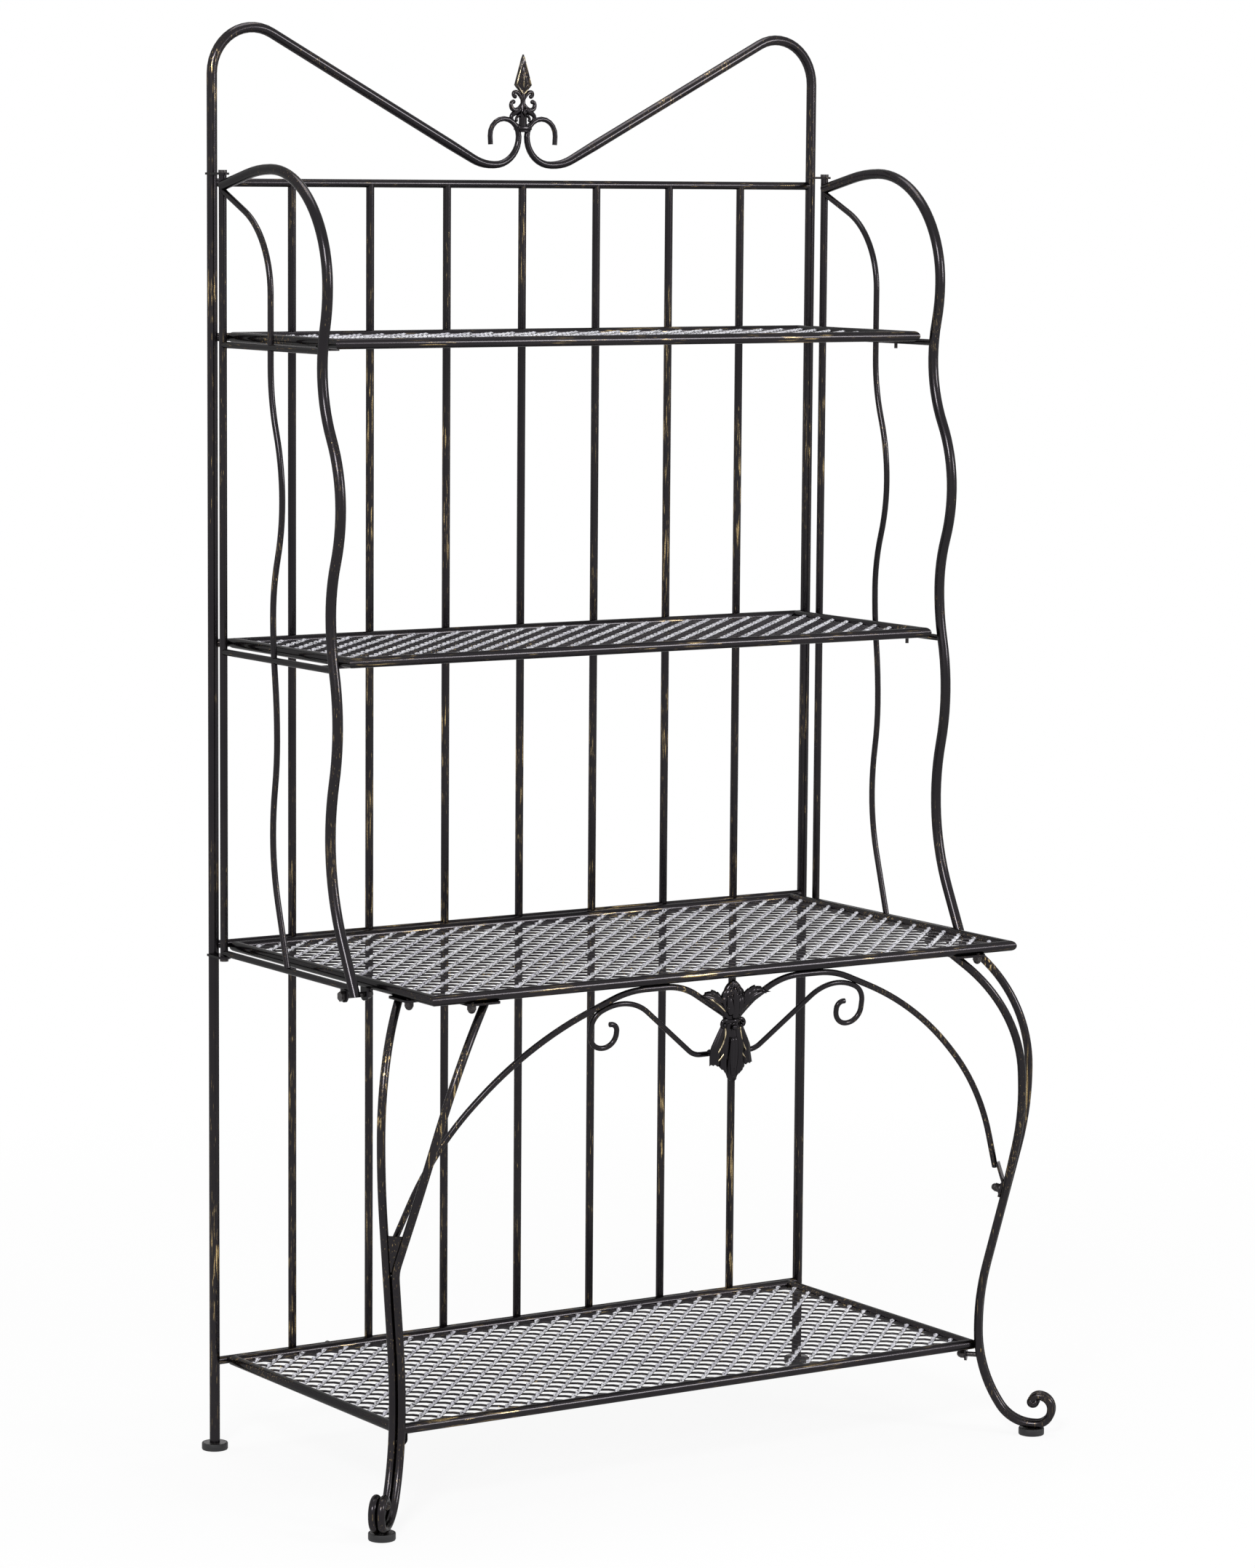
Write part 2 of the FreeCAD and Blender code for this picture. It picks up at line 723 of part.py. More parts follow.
DIAGONAL = Vector(1, -1, 0).normalize()
ACROSS = Vector(1, 1, 0).normalize()
leg_dia = mm("leg_dia")
rear_l = LEG_L + leg_dia / 2
front_l = LEG_L - leg_dia / 2
toe_z = DISC_TOP + leg_dia / 2
worktop_z, worktop_half, worktop_reach, _ = SHELVES["worktop"]
tab_top = worktop_z - rim_dia / 2
leg_top = tab_top - mm("plate_gauge")
shin = (mm("leg_hip_reach") - mm("leg_shin_reach")) / (mm("leg_hip_height") - mm("leg_bend_height"))
fork_reach = mm("leg_shin_reach") + shin * (mm("leg_fork_height") - mm("leg_bend_height"))
fall = (mm("leg_hip_reach") - mm("leg_top_reach")) / (leg_top - mm("leg_shoulder_height"))
LEG_PROFILE = [
    (mm("scroll_reach") - 23.8, 38),
    (mm("scroll_reach") - 23.8, mm("scroll_height")),
    (mm("scroll_reach"), mm("scroll_height")),
    (mm("scroll_reach"), toe_z),
    (mm("leg_toe_reach"), toe_z),
    (mm("leg_shin_reach"), mm("leg_shin_height")),
    (mm("leg_shin_reach"), mm("leg_bend_height")),
]
LEG_RADII = [8.5, 15, 18.5, 48.2, 160]
over = 12

rear_points = [at_leg(reach, rear_l, height) for reach, height in LEG_PROFILE]
rear_points += [
    at_leg(mm("leg_hip_reach"), rear_l, mm("leg_hip_height")),
    at_leg(mm("leg_hip_reach"), rear_l, mm("leg_shoulder_height")),
    at_leg(mm("leg_top_reach") - fall * over, rear_l, leg_top + over),
]
rear_line = rounded(rear_points, LEG_RADII + [320, 390, 172])

front_points = [at_leg(reach, front_l, height) for reach, height in LEG_PROFILE]
front_points += [
    at_leg(fork_reach, front_l, mm("leg_fork_height")),
    at_leg(mm("leg_hip_reach"), LEG_L - mm("fork_hip_spread"), mm("leg_hip_height")),
    at_leg(mm("leg_hip_reach"), LEG_L - mm("fork_shoulder_spread"), mm("leg_shoulder_height")),
    at_leg(mm("leg_top_reach") - fall * over, LEG_L - mm("fork_top_spread"), leg_top + over),
]
front_line = rounded(front_points, LEG_RADII + [320, 60, 390, 172])

above = Part.makeBox(400, 400, 60, Vector(200, -600, leg_top))
rear_leg = sweep(rear_line, leg_dia, mm("tube_wall")).cut(above)
front_leg = sweep(front_line, leg_dia, mm("tube_wall")).cut(above)
rear_core = sweep(rear_line, leg_dia).cut(above)
front_core = sweep(front_line, leg_dia).cut(above)
both_sides("leg_rear_tube", rear_leg.Solids[0])
both_sides("leg_front_tube", front_leg.Solids[0])


def leg_reach(height):
    """Reach of the leg's centre line on its sloping shin."""
    return mm("leg_shin_reach") + shin * (height - mm("leg_bend_height"))


SHIN = (DIAGONAL * shin + Vector(0, 0, 1)).normalize()
OUTWARD = ACROSS.cross(SHIN).normalize()
if OUTWARD.dot(DIAGONAL) < 0:
    OUTWARD = OUTWARD * -1

gauge = mm("plate_gauge")
gusset_low = mm("leg_fork_height") + 2
gusset_at = at_leg(leg_reach(gusset_low), LEG_L, gusset_low) - OUTWARD * (gauge / 2)
gusset_points = [
    gusset_at + ACROSS * 4,
    gusset_at + SHIN * mm("gusset_height") + ACROSS * 4,
    gusset_at + SHIN * mm("gusset_height") - ACROSS * 24,
    gusset_at - ACROSS * 4,
]
gusset = Part.Face(Part.makePolygon(gusset_points + gusset_points[:1])).extrude(OUTWARD * gauge)
gusset = gusset.cut(rear_core).cut(front_core)
gusset = max(gusset.Solids, key=lambda solid: solid.Volume)
both_sides("leg_gusset", gusset)

# ---------------------------------------------------------------- tabs, studs and nuts on the legs

stud_dia = mm("stud_dia")
stud_hole = stud_dia + mm("stud_clearance")
nut_height = mm("nut_height")

hexagon = doc.addObject("Part::Prism", "nut_hexagon")
hexagon.Polygon = 6
hexagon.setExpression("Circumradius", bound("nut_width / sqrt(3)"))
hexagon.setExpression("Height", bound("nut_height"))
dome = doc.addObject("Part::Sphere", "nut_dome")
dome.Angle1 = 0
dome.setExpression("Radius", bound("nut_width / 2 - 0.5"))
dome.setExpression("Placement.Base.z", bound("nut_height"))
thread = rod("nut_thread", "stud_dia", "nut_height + 2", "Z", ("0", "0", "0"))
dome_nut = cut("dome_nut", joined("nut_blank", [hexagon, dome]), [thread])
dome_nut.Label = "dome_nut_pattern"
doc.recompute()


def nut(point, direction):
    """A dome nut whose flat face is at the point and whose dome points along the direction."""
    shape = dome_nut.Shape.copy()
    shape.Placement = Placement(point, Rotation(Vector(0, 0, 1), direction))
    return shape.Solids[0]


def stud(start, end):
    line = end - start
    return Part.makeCylinder(stud_dia / 2, line.Length, start, line)


nuts = []
studs = []
washers = []

# under the worktop: a tab on each tube's top, hung from a stud under the rim
top_tabs = []
rear_top = at_leg(mm("leg_top_reach"), rear_l, leg_top)
front_top = at_leg(mm("leg_top_reach"), LEG_L - mm("fork_top_spread"), leg_top)
rear_stud = Vector(worktop_half, rear_top.y - 26, leg_top)
front_stud = Vector(front_top.x + 26, -worktop_reach, leg_top)
for top, stud_at in ((rear_top, rear_stud), (front_top, front_stud)):
    low = Vector(min(top.x, stud_at.x) - 8, min(top.y, stud_at.y) - 8, leg_top)
    high = Vector(max(top.x, stud_at.x) + 8, max(top.y, stud_at.y) + 8, leg_top)
    tab = Part.makeBox(high.x - low.x, high.y - low.y, gauge, low)
    upright_edges = [edge for edge in tab.Edges if abs(edge.tangentAt(0).z) > 0.9]
    tab = tab.makeFillet(5, upright_edges)
    hole = Part.makeCylinder(stud_hole / 2, 3 * gauge, stud_at - Vector(0, 0, gauge))
    top_tabs.append(tab.cut(hole).Solids[0])
    bolt = stud(stud_at - Vector(0, 0, nut_height + 1), stud_at + Vector(0, 0, gauge + 3))
    for core in rim_cores["worktop"]:
        bolt = bolt.cut(core)
    studs.append(bolt.Solids[0])
    nuts.append(nut(stud_at, Vector(0, 0, -1)))
shaped("leg_top_tabs", Part.makeCompound(top_tabs + [mirrored(tab) for tab in top_tabs]))

# at the bottom shelf: a lug across the corner of the rim, on a stud from the leg
bottom_z, bottom_half, bottom_reach, _ = SHELVES["bottom_shelf"]
corner_reach = (bottom_half + bottom_reach) / math.sqrt(2)
lug_face = corner_reach - 4
lug_z = bottom_z - rim_dia / 2 - mm("stud_dia") / 2 - 3
lug_width = mm("lug_width") + 2
lug_low = at_leg(lug_face - gauge, LEG_L - lug_width / 2, lug_z)
plate_top = bottom_z - rim_dia / 2 + 4
face_points = [
    lug_low,
    lug_low + ACROSS * lug_width,
    lug_low + ACROSS * lug_width + Vector(0, 0, plate_top - lug_z),
    lug_low + Vector(0, 0, plate_top - lug_z),
]
corner_lug = Part.Face(Part.makePolygon(face_points + face_points[:1])).extrude(DIAGONAL * gauge)
round_at = at_leg(lug_face - gauge, LEG_L, lug_z)
corner_lug = corner_lug.fuse(Part.makeCylinder(lug_width / 2, gauge, round_at, DIAGONAL))
corner_lug = corner_lug.cut(Part.makeCylinder(stud_hole / 2, 4 * gauge, round_at - DIAGONAL * gauge, DIAGONAL))
for core in rim_cores["bottom_shelf"]:
    corner_lug = corner_lug.cut(core)
corner_lug = min(corner_lug.Solids, key=lambda solid: solid.CenterOfMass.z)
shaped("bottom_shelf_lugs", Part.makeCompound([corner_lug, mirrored(corner_lug)]))
nuts.append(nut(round_at, DIAGONAL * -1))
low_stud = stud(round_at - DIAGONAL * (nut_height + 1), at_leg(mm("leg_shin_reach") + 4, LEG_L, lug_z))
low_stud = low_stud.cut(rear_core).cut(front_core)
studs.append(max(low_stud.Solids, key=lambda solid: solid.Volume))

# at the fork: the apron arch's tab lies on both tubes, on a stud from between them, and bends
# away from them to the arch's foot
tab_z = mm("leg_fork_height") + 4
on_tubes = at_leg(leg_reach(tab_z), LEG_L, tab_z) - OUTWARD * (leg_dia / 2)
tab_width = 16
tab_bend = math.atan(0.6)
tab_profile = [
    (-9, 0),
    (10, 0),
    (30, 12),
    (30 - gauge * math.sin(tab_bend), 12 + gauge * math.cos(tab_bend)),
    (10 - gauge * math.tan(tab_bend / 2), gauge),
    (-9, gauge),
]
tab_side = on_tubes - ACROSS * (tab_width / 2)
tab_points = [tab_side + SHIN * along - OUTWARD * inward for along, inward in tab_profile]
arch_tab_core = Part.Face(Part.makePolygon(tab_points + tab_points[:1])).extrude(ACROSS * tab_width)
arch_tab = arch_tab_core.cut(Part.makeCylinder(stud_hole / 2, 20, on_tubes - OUTWARD * 10, OUTWARD))
arch_tab = arch_tab.Solids[0]
shaped("apron_arch_tabs", Part.makeCompound([arch_tab, mirrored(arch_tab)]))
inner_face = on_tubes - OUTWARD * gauge
washer_face = inner_face - OUTWARD * mm("washer_gauge")
washer = Part.makeCylinder(mm("washer_dia") / 2, mm("washer_gauge"), washer_face, OUTWARD)
washer = washer.cut(Part.makeCylinder(stud_hole / 2, 20, on_tubes - OUTWARD * 10, OUTWARD))
washers.append(washer.Solids[0])
nuts.append(nut(washer_face, OUTWARD * -1))
fork_stud = stud(washer_face - OUTWARD * (nut_height + 1), on_tubes + OUTWARD * (leg_dia / 2 + 1))
fork_stud = fork_stud.cut(rear_core).cut(front_core).cut(gusset)
studs.append(max(fork_stud.Solids, key=lambda solid: solid.Volume))

# beside the wave tube's foot: a bolt through the side frame's lug and the worktop's lug
inner_lug = lug(worktop_half, lug_y, bolt_z, tab_top + 5, bolt_z)
for core in rim_cores["worktop"]:
    inner_lug = inner_lug.cut(core)
inner_lug = min(inner_lug.Solids, key=lambda solid: solid.CenterOfMass.z)
shaped("worktop_lugs", Part.makeCompound([inner_lug, mirrored(inner_lug)]))
nut_face = Vector(worktop_half - gauge / 2, lug_y, bolt_z)
nuts.append(nut(nut_face, Vector(-1, 0, 0)))
head_face = Vector(side_x + gauge / 2, lug_y, bolt_z)
bolt = stud(nut_face - Vector(nut_height + 1, 0, 0), head_face)
bolt_head = hexagon.Shape.copy()
bolt_head.Placement = Placement(head_face, Rotation(Vector(0, 0, 1), Vector(1, 0, 0)))
worktop_bolt = bolt.fuse(bolt_head).Solids[0]
shaped("worktop_bolts", Part.makeCompound([worktop_bolt, mirrored(worktop_bolt)]))

shaped("leg_studs", Part.makeCompound(studs + [mirrored(piece) for piece in studs]))
shaped("stud_washers", Part.makeCompound(washers + [mirrored(piece) for piece in washers]))
shaped("dome_nuts", Part.makeCompound(nuts + [mirrored(piece) for piece in nuts]))
shaped("back_screws", Part.makeCompound(back_screws))
for shelf in SHELVES:
    shaped(shelf + "_rim", rims[shelf])

# ---------------------------------------------------------------- scrolled apron under the worktop

# The apron leans inward from the worktop's front rim.  Its pieces are drawn flat: across from the
# middle of the rack, and down from the centre line of the arch's highest stretch.

arch_dia = mm("arch_dia")
arch_top = Vector(0, -worktop_reach, worktop_z - rim_dia / 2 - arch_dia / 2)
foot_rise = 24
foot_inward = gauge + (foot_rise - tab_profile[4][0]) * math.tan(tab_bend)
foot_inward += (arch_dia / 2 - 0.3) / math.cos(tab_bend)
arch_foot = on_tubes + SHIN * foot_rise - OUTWARD * foot_inward
lean = math.atan((arch_foot.y - arch_top.y) / (arch_top.z - arch_foot.z))
foot_drop = (arch_top.z - arch_foot.z) / math.cos(lean)


def on_apron(across, drop, proud=0):
    down = Vector(0, math.sin(lean), -math.cos(lean))
    front = Vector(0, -math.cos(lean), -math.sin(lean))
    return arch_top + Vector(across, 0, 0) + down * drop + front * proud


slope_start = 140
slope_end = 264
slope_drop = 52
arch_points = [
    on_apron(0, 43),
    on_apron(68, 0),
    on_apron(slope_start, 0),
    on_apron(slope_end, slope_drop),
    on_apron(arch_foot.x - 39, foot_drop - 104),
    on_apron(arch_foot.x, foot_drop),
]
arch_line = rounded(arch_points, [80, 110, 400, 320])
arch = sweep(arch_line, arch_dia)
arch_core = arch.copy()
for piece in (arch_tab_core, rear_core, front_core):
    arch = arch.cut(piece)
arch = max(arch.Solids, key=lambda solid: solid.Volume)
halfspace = Part.makeBox(20, 40, 40, Vector(-20, arch_top.y - 15, arch_top.z - 60))
arch = max(arch.cut(halfspace).Solids, key=lambda solid: solid.Volume)
both_sides("apron_arch", arch)

scroll_dia = mm("apron_scroll_dia")
nest = (arch_dia + scroll_dia) / 2
pitch = slope_drop / (slope_end - slope_start)
below_arch = nest * math.sqrt(1 + pitch * pitch)


def under_arch(across):
    """Drop of a line that touches the underside of the arch's sloping stretch."""
    return (across - slope_start) * pitch + below_arch


scroll_low = 85.3
scroll_turn = 41.5
scroll_slope = 0.828
scroll_far = 184.5
curl_near = 149.8
meet = (scroll_low + scroll_slope * scroll_turn - below_arch + slope_start * pitch) / (scroll_slope + pitch)
scroll_points = [
    on_apron(19, scroll_low),
    on_apron(scroll_turn, scroll_low),
    on_apron(meet, under_arch(meet)),
    on_apron(scroll_far, under_arch(scroll_far)),
    on_apron(scroll_far, 65.3),
    on_apron(curl_near, 65.3),
    on_apron(curl_near, 38),
    on_apron(160, 38),
]
apron_scroll_line = rounded(scroll_points, [25, 56, 22, 18, 16, 8.5])
apron_scroll = sweep(apron_scroll_line, scroll_dia)
both_sides("apron_scroll", apron_scroll)

leaf_half = [
    (0, 1),
    (8, 4),
    (20, 12),
    (34, 14),
    (43, 17.5),
    (38, 26),
    (26, 33),
    (14, 43.5),
    (17, 51),
    (19, 62),
    (24, 72),
    (28, 88.5),
    (25, 97),
    (20, 101),
    (16, 107),
    (10, 109),
    (6, 113),
    (0, 114),
]
leaf_back = scroll_dia / 2
leaf_outline = [on_apron(x, drop, leaf_back) for x, drop in leaf_half]
leaf_outline += [on_apron(-x, drop, leaf_back) for x, drop in reversed(leaf_half[1:-1])]
leaf_face = Part.Face(Part.makePolygon(leaf_outline + leaf_outline[:1]))
leaf = leaf_face.extrude((on_apron(0, 0, 1) - on_apron(0, 0, 0)) * mm("leaf_gauge"))
leaf = leaf.cut(arch_core).cut(mirrored(arch_core))
for core in rim_cores["worktop"]:
    leaf = leaf.cut(core)
shaped("apron_leaf", max(leaf.Solids, key=lambda solid: solid.Volume))

# ---------------------------------------------------------------- feet

foot_x = "(foot_reach + {}) / sqrt(2)".format(LEG_PLANE)
foot_y = "({} - foot_reach) / sqrt(2)".format(LEG_PLANE)
FEET = [
    ("rear_right", "post_spacing / 2", "0"),
    ("rear_left", "-post_spacing / 2", "0"),
    ("front_right", foot_x, foot_y),
    ("front_left", "-({})".format(foot_x), foot_y),
]
discs = []
caps = []
for corner, across, along in FEET:
    disc_at = (across, along, "foot_floor")
    disc = rod("foot_disc_" + corner, "foot_disc_dia", "foot_disc_gauge", "Z", disc_at)
    cap = rod("foot_cap_" + corner, "foot_cap_dia", "foot_floor + foot_disc_gauge", "Z", (across, along, "0"))
    discs.append(disc)
    caps.append(cut("foot_cup_" + corner, cap, [disc]))
node(group("foot_discs", discs), "foot_discs")
node(group("foot_caps", caps), "foot_caps")

# ---------------------------------------------------------------- checks and export

doc.recompute()

# the rack stands with the middle of its footprint over the origin
front_edge = front_leg.optimalBoundingBox(False, False).YMin
posts_setback = (-front_edge - mm("foot_cap_dia") / 2) / 2
for piece in nodes:
    piece.Placement = Placement(Vector(0, posts_setback, 0), Rotation())
doc.recompute()

for item in doc.Objects:
    if "Invalid" in item.State or "Error" in item.State:
        raise RuntimeError("{} is {}".format(item.Name, item.State))
os.makedirs("parts", exist_ok=True)
for piece in nodes:
    shape = piece.Shape
    if shape.isNull() or not shape.isValid() or not shape.Solids:
        raise RuntimeError("{} has no valid solid".format(piece.Label))
for piece in nodes:
    piece.Shape.exportStep("parts/{}.step".format(piece.Label))
print("{} sub-parts, posts {:.1f} mm behind the middle".format(len(nodes), posts_setback))
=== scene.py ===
import json
import math

import bmesh
import bpy
from mathutils import Matrix, Vector

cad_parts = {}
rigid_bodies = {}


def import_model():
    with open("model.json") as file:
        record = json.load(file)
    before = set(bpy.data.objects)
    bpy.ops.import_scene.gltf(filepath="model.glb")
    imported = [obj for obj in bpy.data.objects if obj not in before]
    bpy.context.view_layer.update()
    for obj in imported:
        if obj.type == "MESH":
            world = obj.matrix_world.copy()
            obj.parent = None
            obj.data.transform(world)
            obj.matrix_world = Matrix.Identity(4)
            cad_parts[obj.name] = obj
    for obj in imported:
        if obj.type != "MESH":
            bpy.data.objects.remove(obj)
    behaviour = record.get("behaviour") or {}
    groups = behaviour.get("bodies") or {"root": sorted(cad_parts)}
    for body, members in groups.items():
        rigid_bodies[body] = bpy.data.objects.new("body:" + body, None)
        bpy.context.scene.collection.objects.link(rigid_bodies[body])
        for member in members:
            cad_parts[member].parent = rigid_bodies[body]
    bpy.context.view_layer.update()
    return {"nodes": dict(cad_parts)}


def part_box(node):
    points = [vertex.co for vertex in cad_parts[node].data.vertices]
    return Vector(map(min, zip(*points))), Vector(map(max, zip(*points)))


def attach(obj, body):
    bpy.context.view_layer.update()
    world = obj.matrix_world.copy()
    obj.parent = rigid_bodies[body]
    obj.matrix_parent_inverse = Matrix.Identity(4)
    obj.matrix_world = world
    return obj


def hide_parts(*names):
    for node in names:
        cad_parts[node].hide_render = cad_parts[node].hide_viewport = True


# Baker's rack: enamelled tubes and bars with a gold patina brushed over the black, woven mesh
# shelves, a cast spear finial on the crown, a cast acanthus leaf under the worktop, turned feet
# and rolled tips on the leg scrolls.  The tables of shapes are in millimetres.

for leftover in list(bpy.data.objects):
    bpy.data.objects.remove(leftover)

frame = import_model()
nodes = frame["nodes"]
scene = bpy.context.scene

MM = 0.001
IN_MM = Matrix.Scale(MM, 4)


# ---------------------------------------------------------------- finishes


class Socket:
    """One output of a node. An expression written with it adds its Math nodes."""

    def __init__(self, finish, output):
        self.finish = finish
        self.output = output

    def combined(self, operation, one, other):
        return self.finish.node("ShaderNodeMath", {"operation": operation}, {0: one, 1: other})

    def __add__(self, other):
        return self.combined("ADD", self, other)

    def __radd__(self, other):
        return self.combined("ADD", other, self)

    def __sub__(self, other):
        return self.combined("SUBTRACT", self, other)

    def __rsub__(self, other):
        return self.combined("SUBTRACT", other, self)

    def __mul__(self, other):
        return self.combined("MULTIPLY", self, other)

    def __rmul__(self, other):
        return self.combined("MULTIPLY", other, self)

    def at_least(self, other):
        return self.combined("MAXIMUM", self, other)

    def at_most(self, other):
        return self.combined("MINIMUM", self, other)

    def within(self, low, high):
        """0 at low, 1 at high, and a straight ramp between."""
        return self.finish.node(
            "ShaderNodeMapRange",
            {"clamp": True},
            {"Value": self, "From Min": low, "From Max": high, "To Min": 0.0, "To Max": 1.0},
        )


class Finish:
    """A material, or the world, whose nodes are added one call at a time."""

    def __init__(self, owner):
        self.owner = owner
        owner.use_nodes = True
        self.tree = owner.node_tree
        self.tree.nodes.clear()

    def node(self, kind, settings=None, inputs=None, output=0):
        made = self.tree.nodes.new(kind)
        for name, value in (settings or {}).items():
            setattr(made, name, value)
        for name, value in (inputs or {}).items():
            if isinstance(value, Socket):
                self.tree.links.new(value.output, made.inputs[name])
            else:
                made.inputs[name].default_value = value
        return Socket(self, made.outputs[output]) if made.outputs else made

    def place(self, stretch=(1, 1, 1), shift=(0, 0, 0)):
        """Object coordinates, stretched and moved."""
        where = self.node("ShaderNodeTexCoord", output="Object")
        return self.node(
            "ShaderNodeMapping",
            {"vector_type": "POINT"},
            {"Vector": where, "Scale": stretch, "Location": shift},
        )

    def noise(self, scale, detail, rough, **where):
        at = self.place(**where)
        return self.node(
            "ShaderNodeTexNoise",
            {"noise_dimensions": "3D"},
            {"Vector": at, "Scale": scale, "Detail": detail, "Roughness": rough},
        )

    def mix(self, share, one, other):
        """A colour between two colours, whose sockets on a Mix node are known by number."""
        inputs = {0: share, 6: one, 7: other}
        return self.node("ShaderNodeMix", {"data_type": "RGBA"}, inputs, output=2)

    def bump(self, height, strength, distance):
        inputs = {"Height": height, "Strength": strength, "Distance": distance}
        return self.node("ShaderNodeBump", inputs=inputs)

    def surface(self, inputs):
        """The finished material, with a Principled shader of these inputs."""
        shader = self.node("ShaderNodeBsdfPrincipled", inputs=inputs)
        self.node("ShaderNodeOutputMaterial", inputs={"Surface": shader})
        return self.owner


BLACK = (0.012, 0.0105, 0.0128, 1)
WORN_BLACK = (0.021, 0.0180, 0.0200, 1)
DARK_GOLD = (0.32, 0.20, 0.070, 1)
PALE_GOLD = (0.78, 0.60, 0.30, 1)
# the pale gold of raised edges is rubbed gilding and a painted highlight
EDGE_BLACK = (0.03, 0.026, 0.026, 1)
EDGE_GOLD = (0.62, 0.52, 0.33, 1)
WIRE_BLACK = (0.010, 0.009, 0.012, 1)
# pale metal painted on the tops of the woven strands, a painted highlight
PAINTED_HIGHLIGHT_GREY = (0.62, 0.61, 0.69, 1)
PAINTED_HIGHLIGHT_WHITE = (0.86, 0.86, 0.91, 1)
BLACK_STEEL = (0.022, 0.020, 0.022, 1)
WORN_STEEL = (0.075, 0.068, 0.066, 1)
BLACK_RUBBER = (0.006, 0.006, 0.007, 1)
SCUFFED_RUBBER = (0.022, 0.021, 0.021, 1)
WHITE = (1, 1, 1, 1)


def enamel(name, run, patina, shift=(0, 0, 0), gloss=0.19):
    """Black enamel with gold patina dry-brushed along the run of a tube, in patches."""
    f = Finish(bpy.data.materials.new(name))
    brush = f.noise(1.0, 3.0, 0.55, stretch=run, shift=shift)
    hairs = f.noise(2.1, 2.0, 0.5, stretch=run, shift=(shift[0] + 3, shift[1], shift[2]))
    patches = f.noise(7.0, 3.0, 0.6, shift=(1.7, 0.3, 4.1))
    grain = f.noise(900.0, 2.0, 0.6)
    cover = patches.within(0.70 - 0.3 * patina, 0.82 - 0.3 * patina)
    wider_cover = patches.within(0.52 - 0.2 * patina, 0.62 - 0.2 * patina)
    strokes = brush.within(0.575, 0.635) * cover
    wisps = hairs.within(0.66, 0.72) * wider_cover * 0.55
    gold = strokes.at_least(wisps)
    enamel_tone = f.mix(patches.within(0.3, 0.7), BLACK, WORN_BLACK)
    gold_tone = f.mix(grain.within(0.35, 0.65), DARK_GOLD, PALE_GOLD)
    return f.surface(
        {
            "Base Color": f.mix(gold, enamel_tone, gold_tone),
            "Metallic": 0.9,
            "Roughness": gloss + grain * 0.10 + gold * 0.06,
            "Specular Tint": (0.25, 0.22, 0.24, 1),
            "Coat Weight": 0.25,
            "Coat Roughness": 0.12,
            "Normal": f.bump(grain * 0.35 + gold * 0.8, 0.2, 0.0003),
        }
    )


def gilt_edge_and_highlight(name):
    """Pale gold on the raised edges of a casting: rubbed gilding and a painted highlight."""
    f = Finish(bpy.data.materials.new(name))
    fine = f.noise(600.0, 3.0, 0.6)
    gilt_and_highlight_share = f.noise(90.0, 3.0, 0.6).within(0.42, 0.60)
    return f.surface(
        {
            "Base Color": f.mix(gilt_and_highlight_share, EDGE_BLACK, EDGE_GOLD),
            "Metallic": 0.9,
            "Roughness": 0.18 + fine * 0.14,
            "Normal": f.bump(fine, 0.2, 0.0003),
        }
    )


def crimped_wire(name, level):
    """Black enamel, with pale metal painted a little above the level of the strands: a painted
    highlight on their tops.
    """
    f = Finish(bpy.data.materials.new(name))
    fine = f.noise(420.0, 3.0, 0.6)
    broad = f.noise(14.0, 2.0, 0.5)
    where = f.node("ShaderNodeTexCoord", output="Object")
    height = f.node("ShaderNodeSeparateXYZ", inputs={0: where}, output="Z")
    # the painted highlight: pale metal on the strands' tops, in fine specks
    top = height.within(level + 0.2 * MM, level + 0.8 * MM)
    highlight_tone = f.mix(broad.within(0.35, 0.65), PAINTED_HIGHLIGHT_GREY, PAINTED_HIGHLIGHT_WHITE)
    highlight_share = top * fine.within(0.39, 0.52)
    return f.surface(
        {
            "Base Color": f.mix(highlight_share, WIRE_BLACK, highlight_tone),
            "Metallic": 0.55 * highlight_share,
            "Roughness": 0.14 + fine * 0.14,
            "Coat Weight": 0.3,
            "Coat Roughness": 0.05,
            "Normal": f.bump(fine, 0.2, 0.0002),
        }
    )


def fastener(name):
    """Blackened steel with a fine mottled grain."""
    f = Finish(bpy.data.materials.new(name))
    fine = f.noise(700.0, 3.0, 0.6)
    broad = f.noise(60.0, 2.0, 0.5)
    return f.surface(
        {
            "Base Color": f.mix(fine.within(0.35, 0.7), BLACK_STEEL, WORN_STEEL),
            "Metallic": 0.85,
            "Roughness": 0.30 + broad * 0.18,
            "Normal": f.bump(fine, 0.3, 0.0003),
        }
    )


def rubber(name):
    """Matt black moulded rubber with paler scuffs."""
    f = Finish(bpy.data.materials.new(name))
    fine = f.noise(1100.0, 3.0, 0.6)
    scuffs = f.noise(90.0, 4.0, 0.6, stretch=(1, 1, 4))
    return f.surface(
        {
            "Base Color": f.mix(scuffs.within(0.5, 0.8), BLACK_RUBBER, SCUFFED_RUBBER),
            "Metallic": 0.0,
            "Roughness": 0.52 + scuffs * 0.22,
            "Normal": f.bump(fine, 0.4, 0.0004),
        }
    )


# how fine the brush strokes are along X, Y and Z: the smallest number is the way they run
UPRIGHT = (520, 520, 24)
LENGTHWISE = (24, 520, 520)
DEPTHWISE = (520, 24, 520)
ROUND_THE_RIM = (15, 300, 300)
DOWN_THE_LEG = (430, 430, 10)
EVERY_WAY = (300, 300, 110)
ON_A_CASTING = (420, 420, 200)

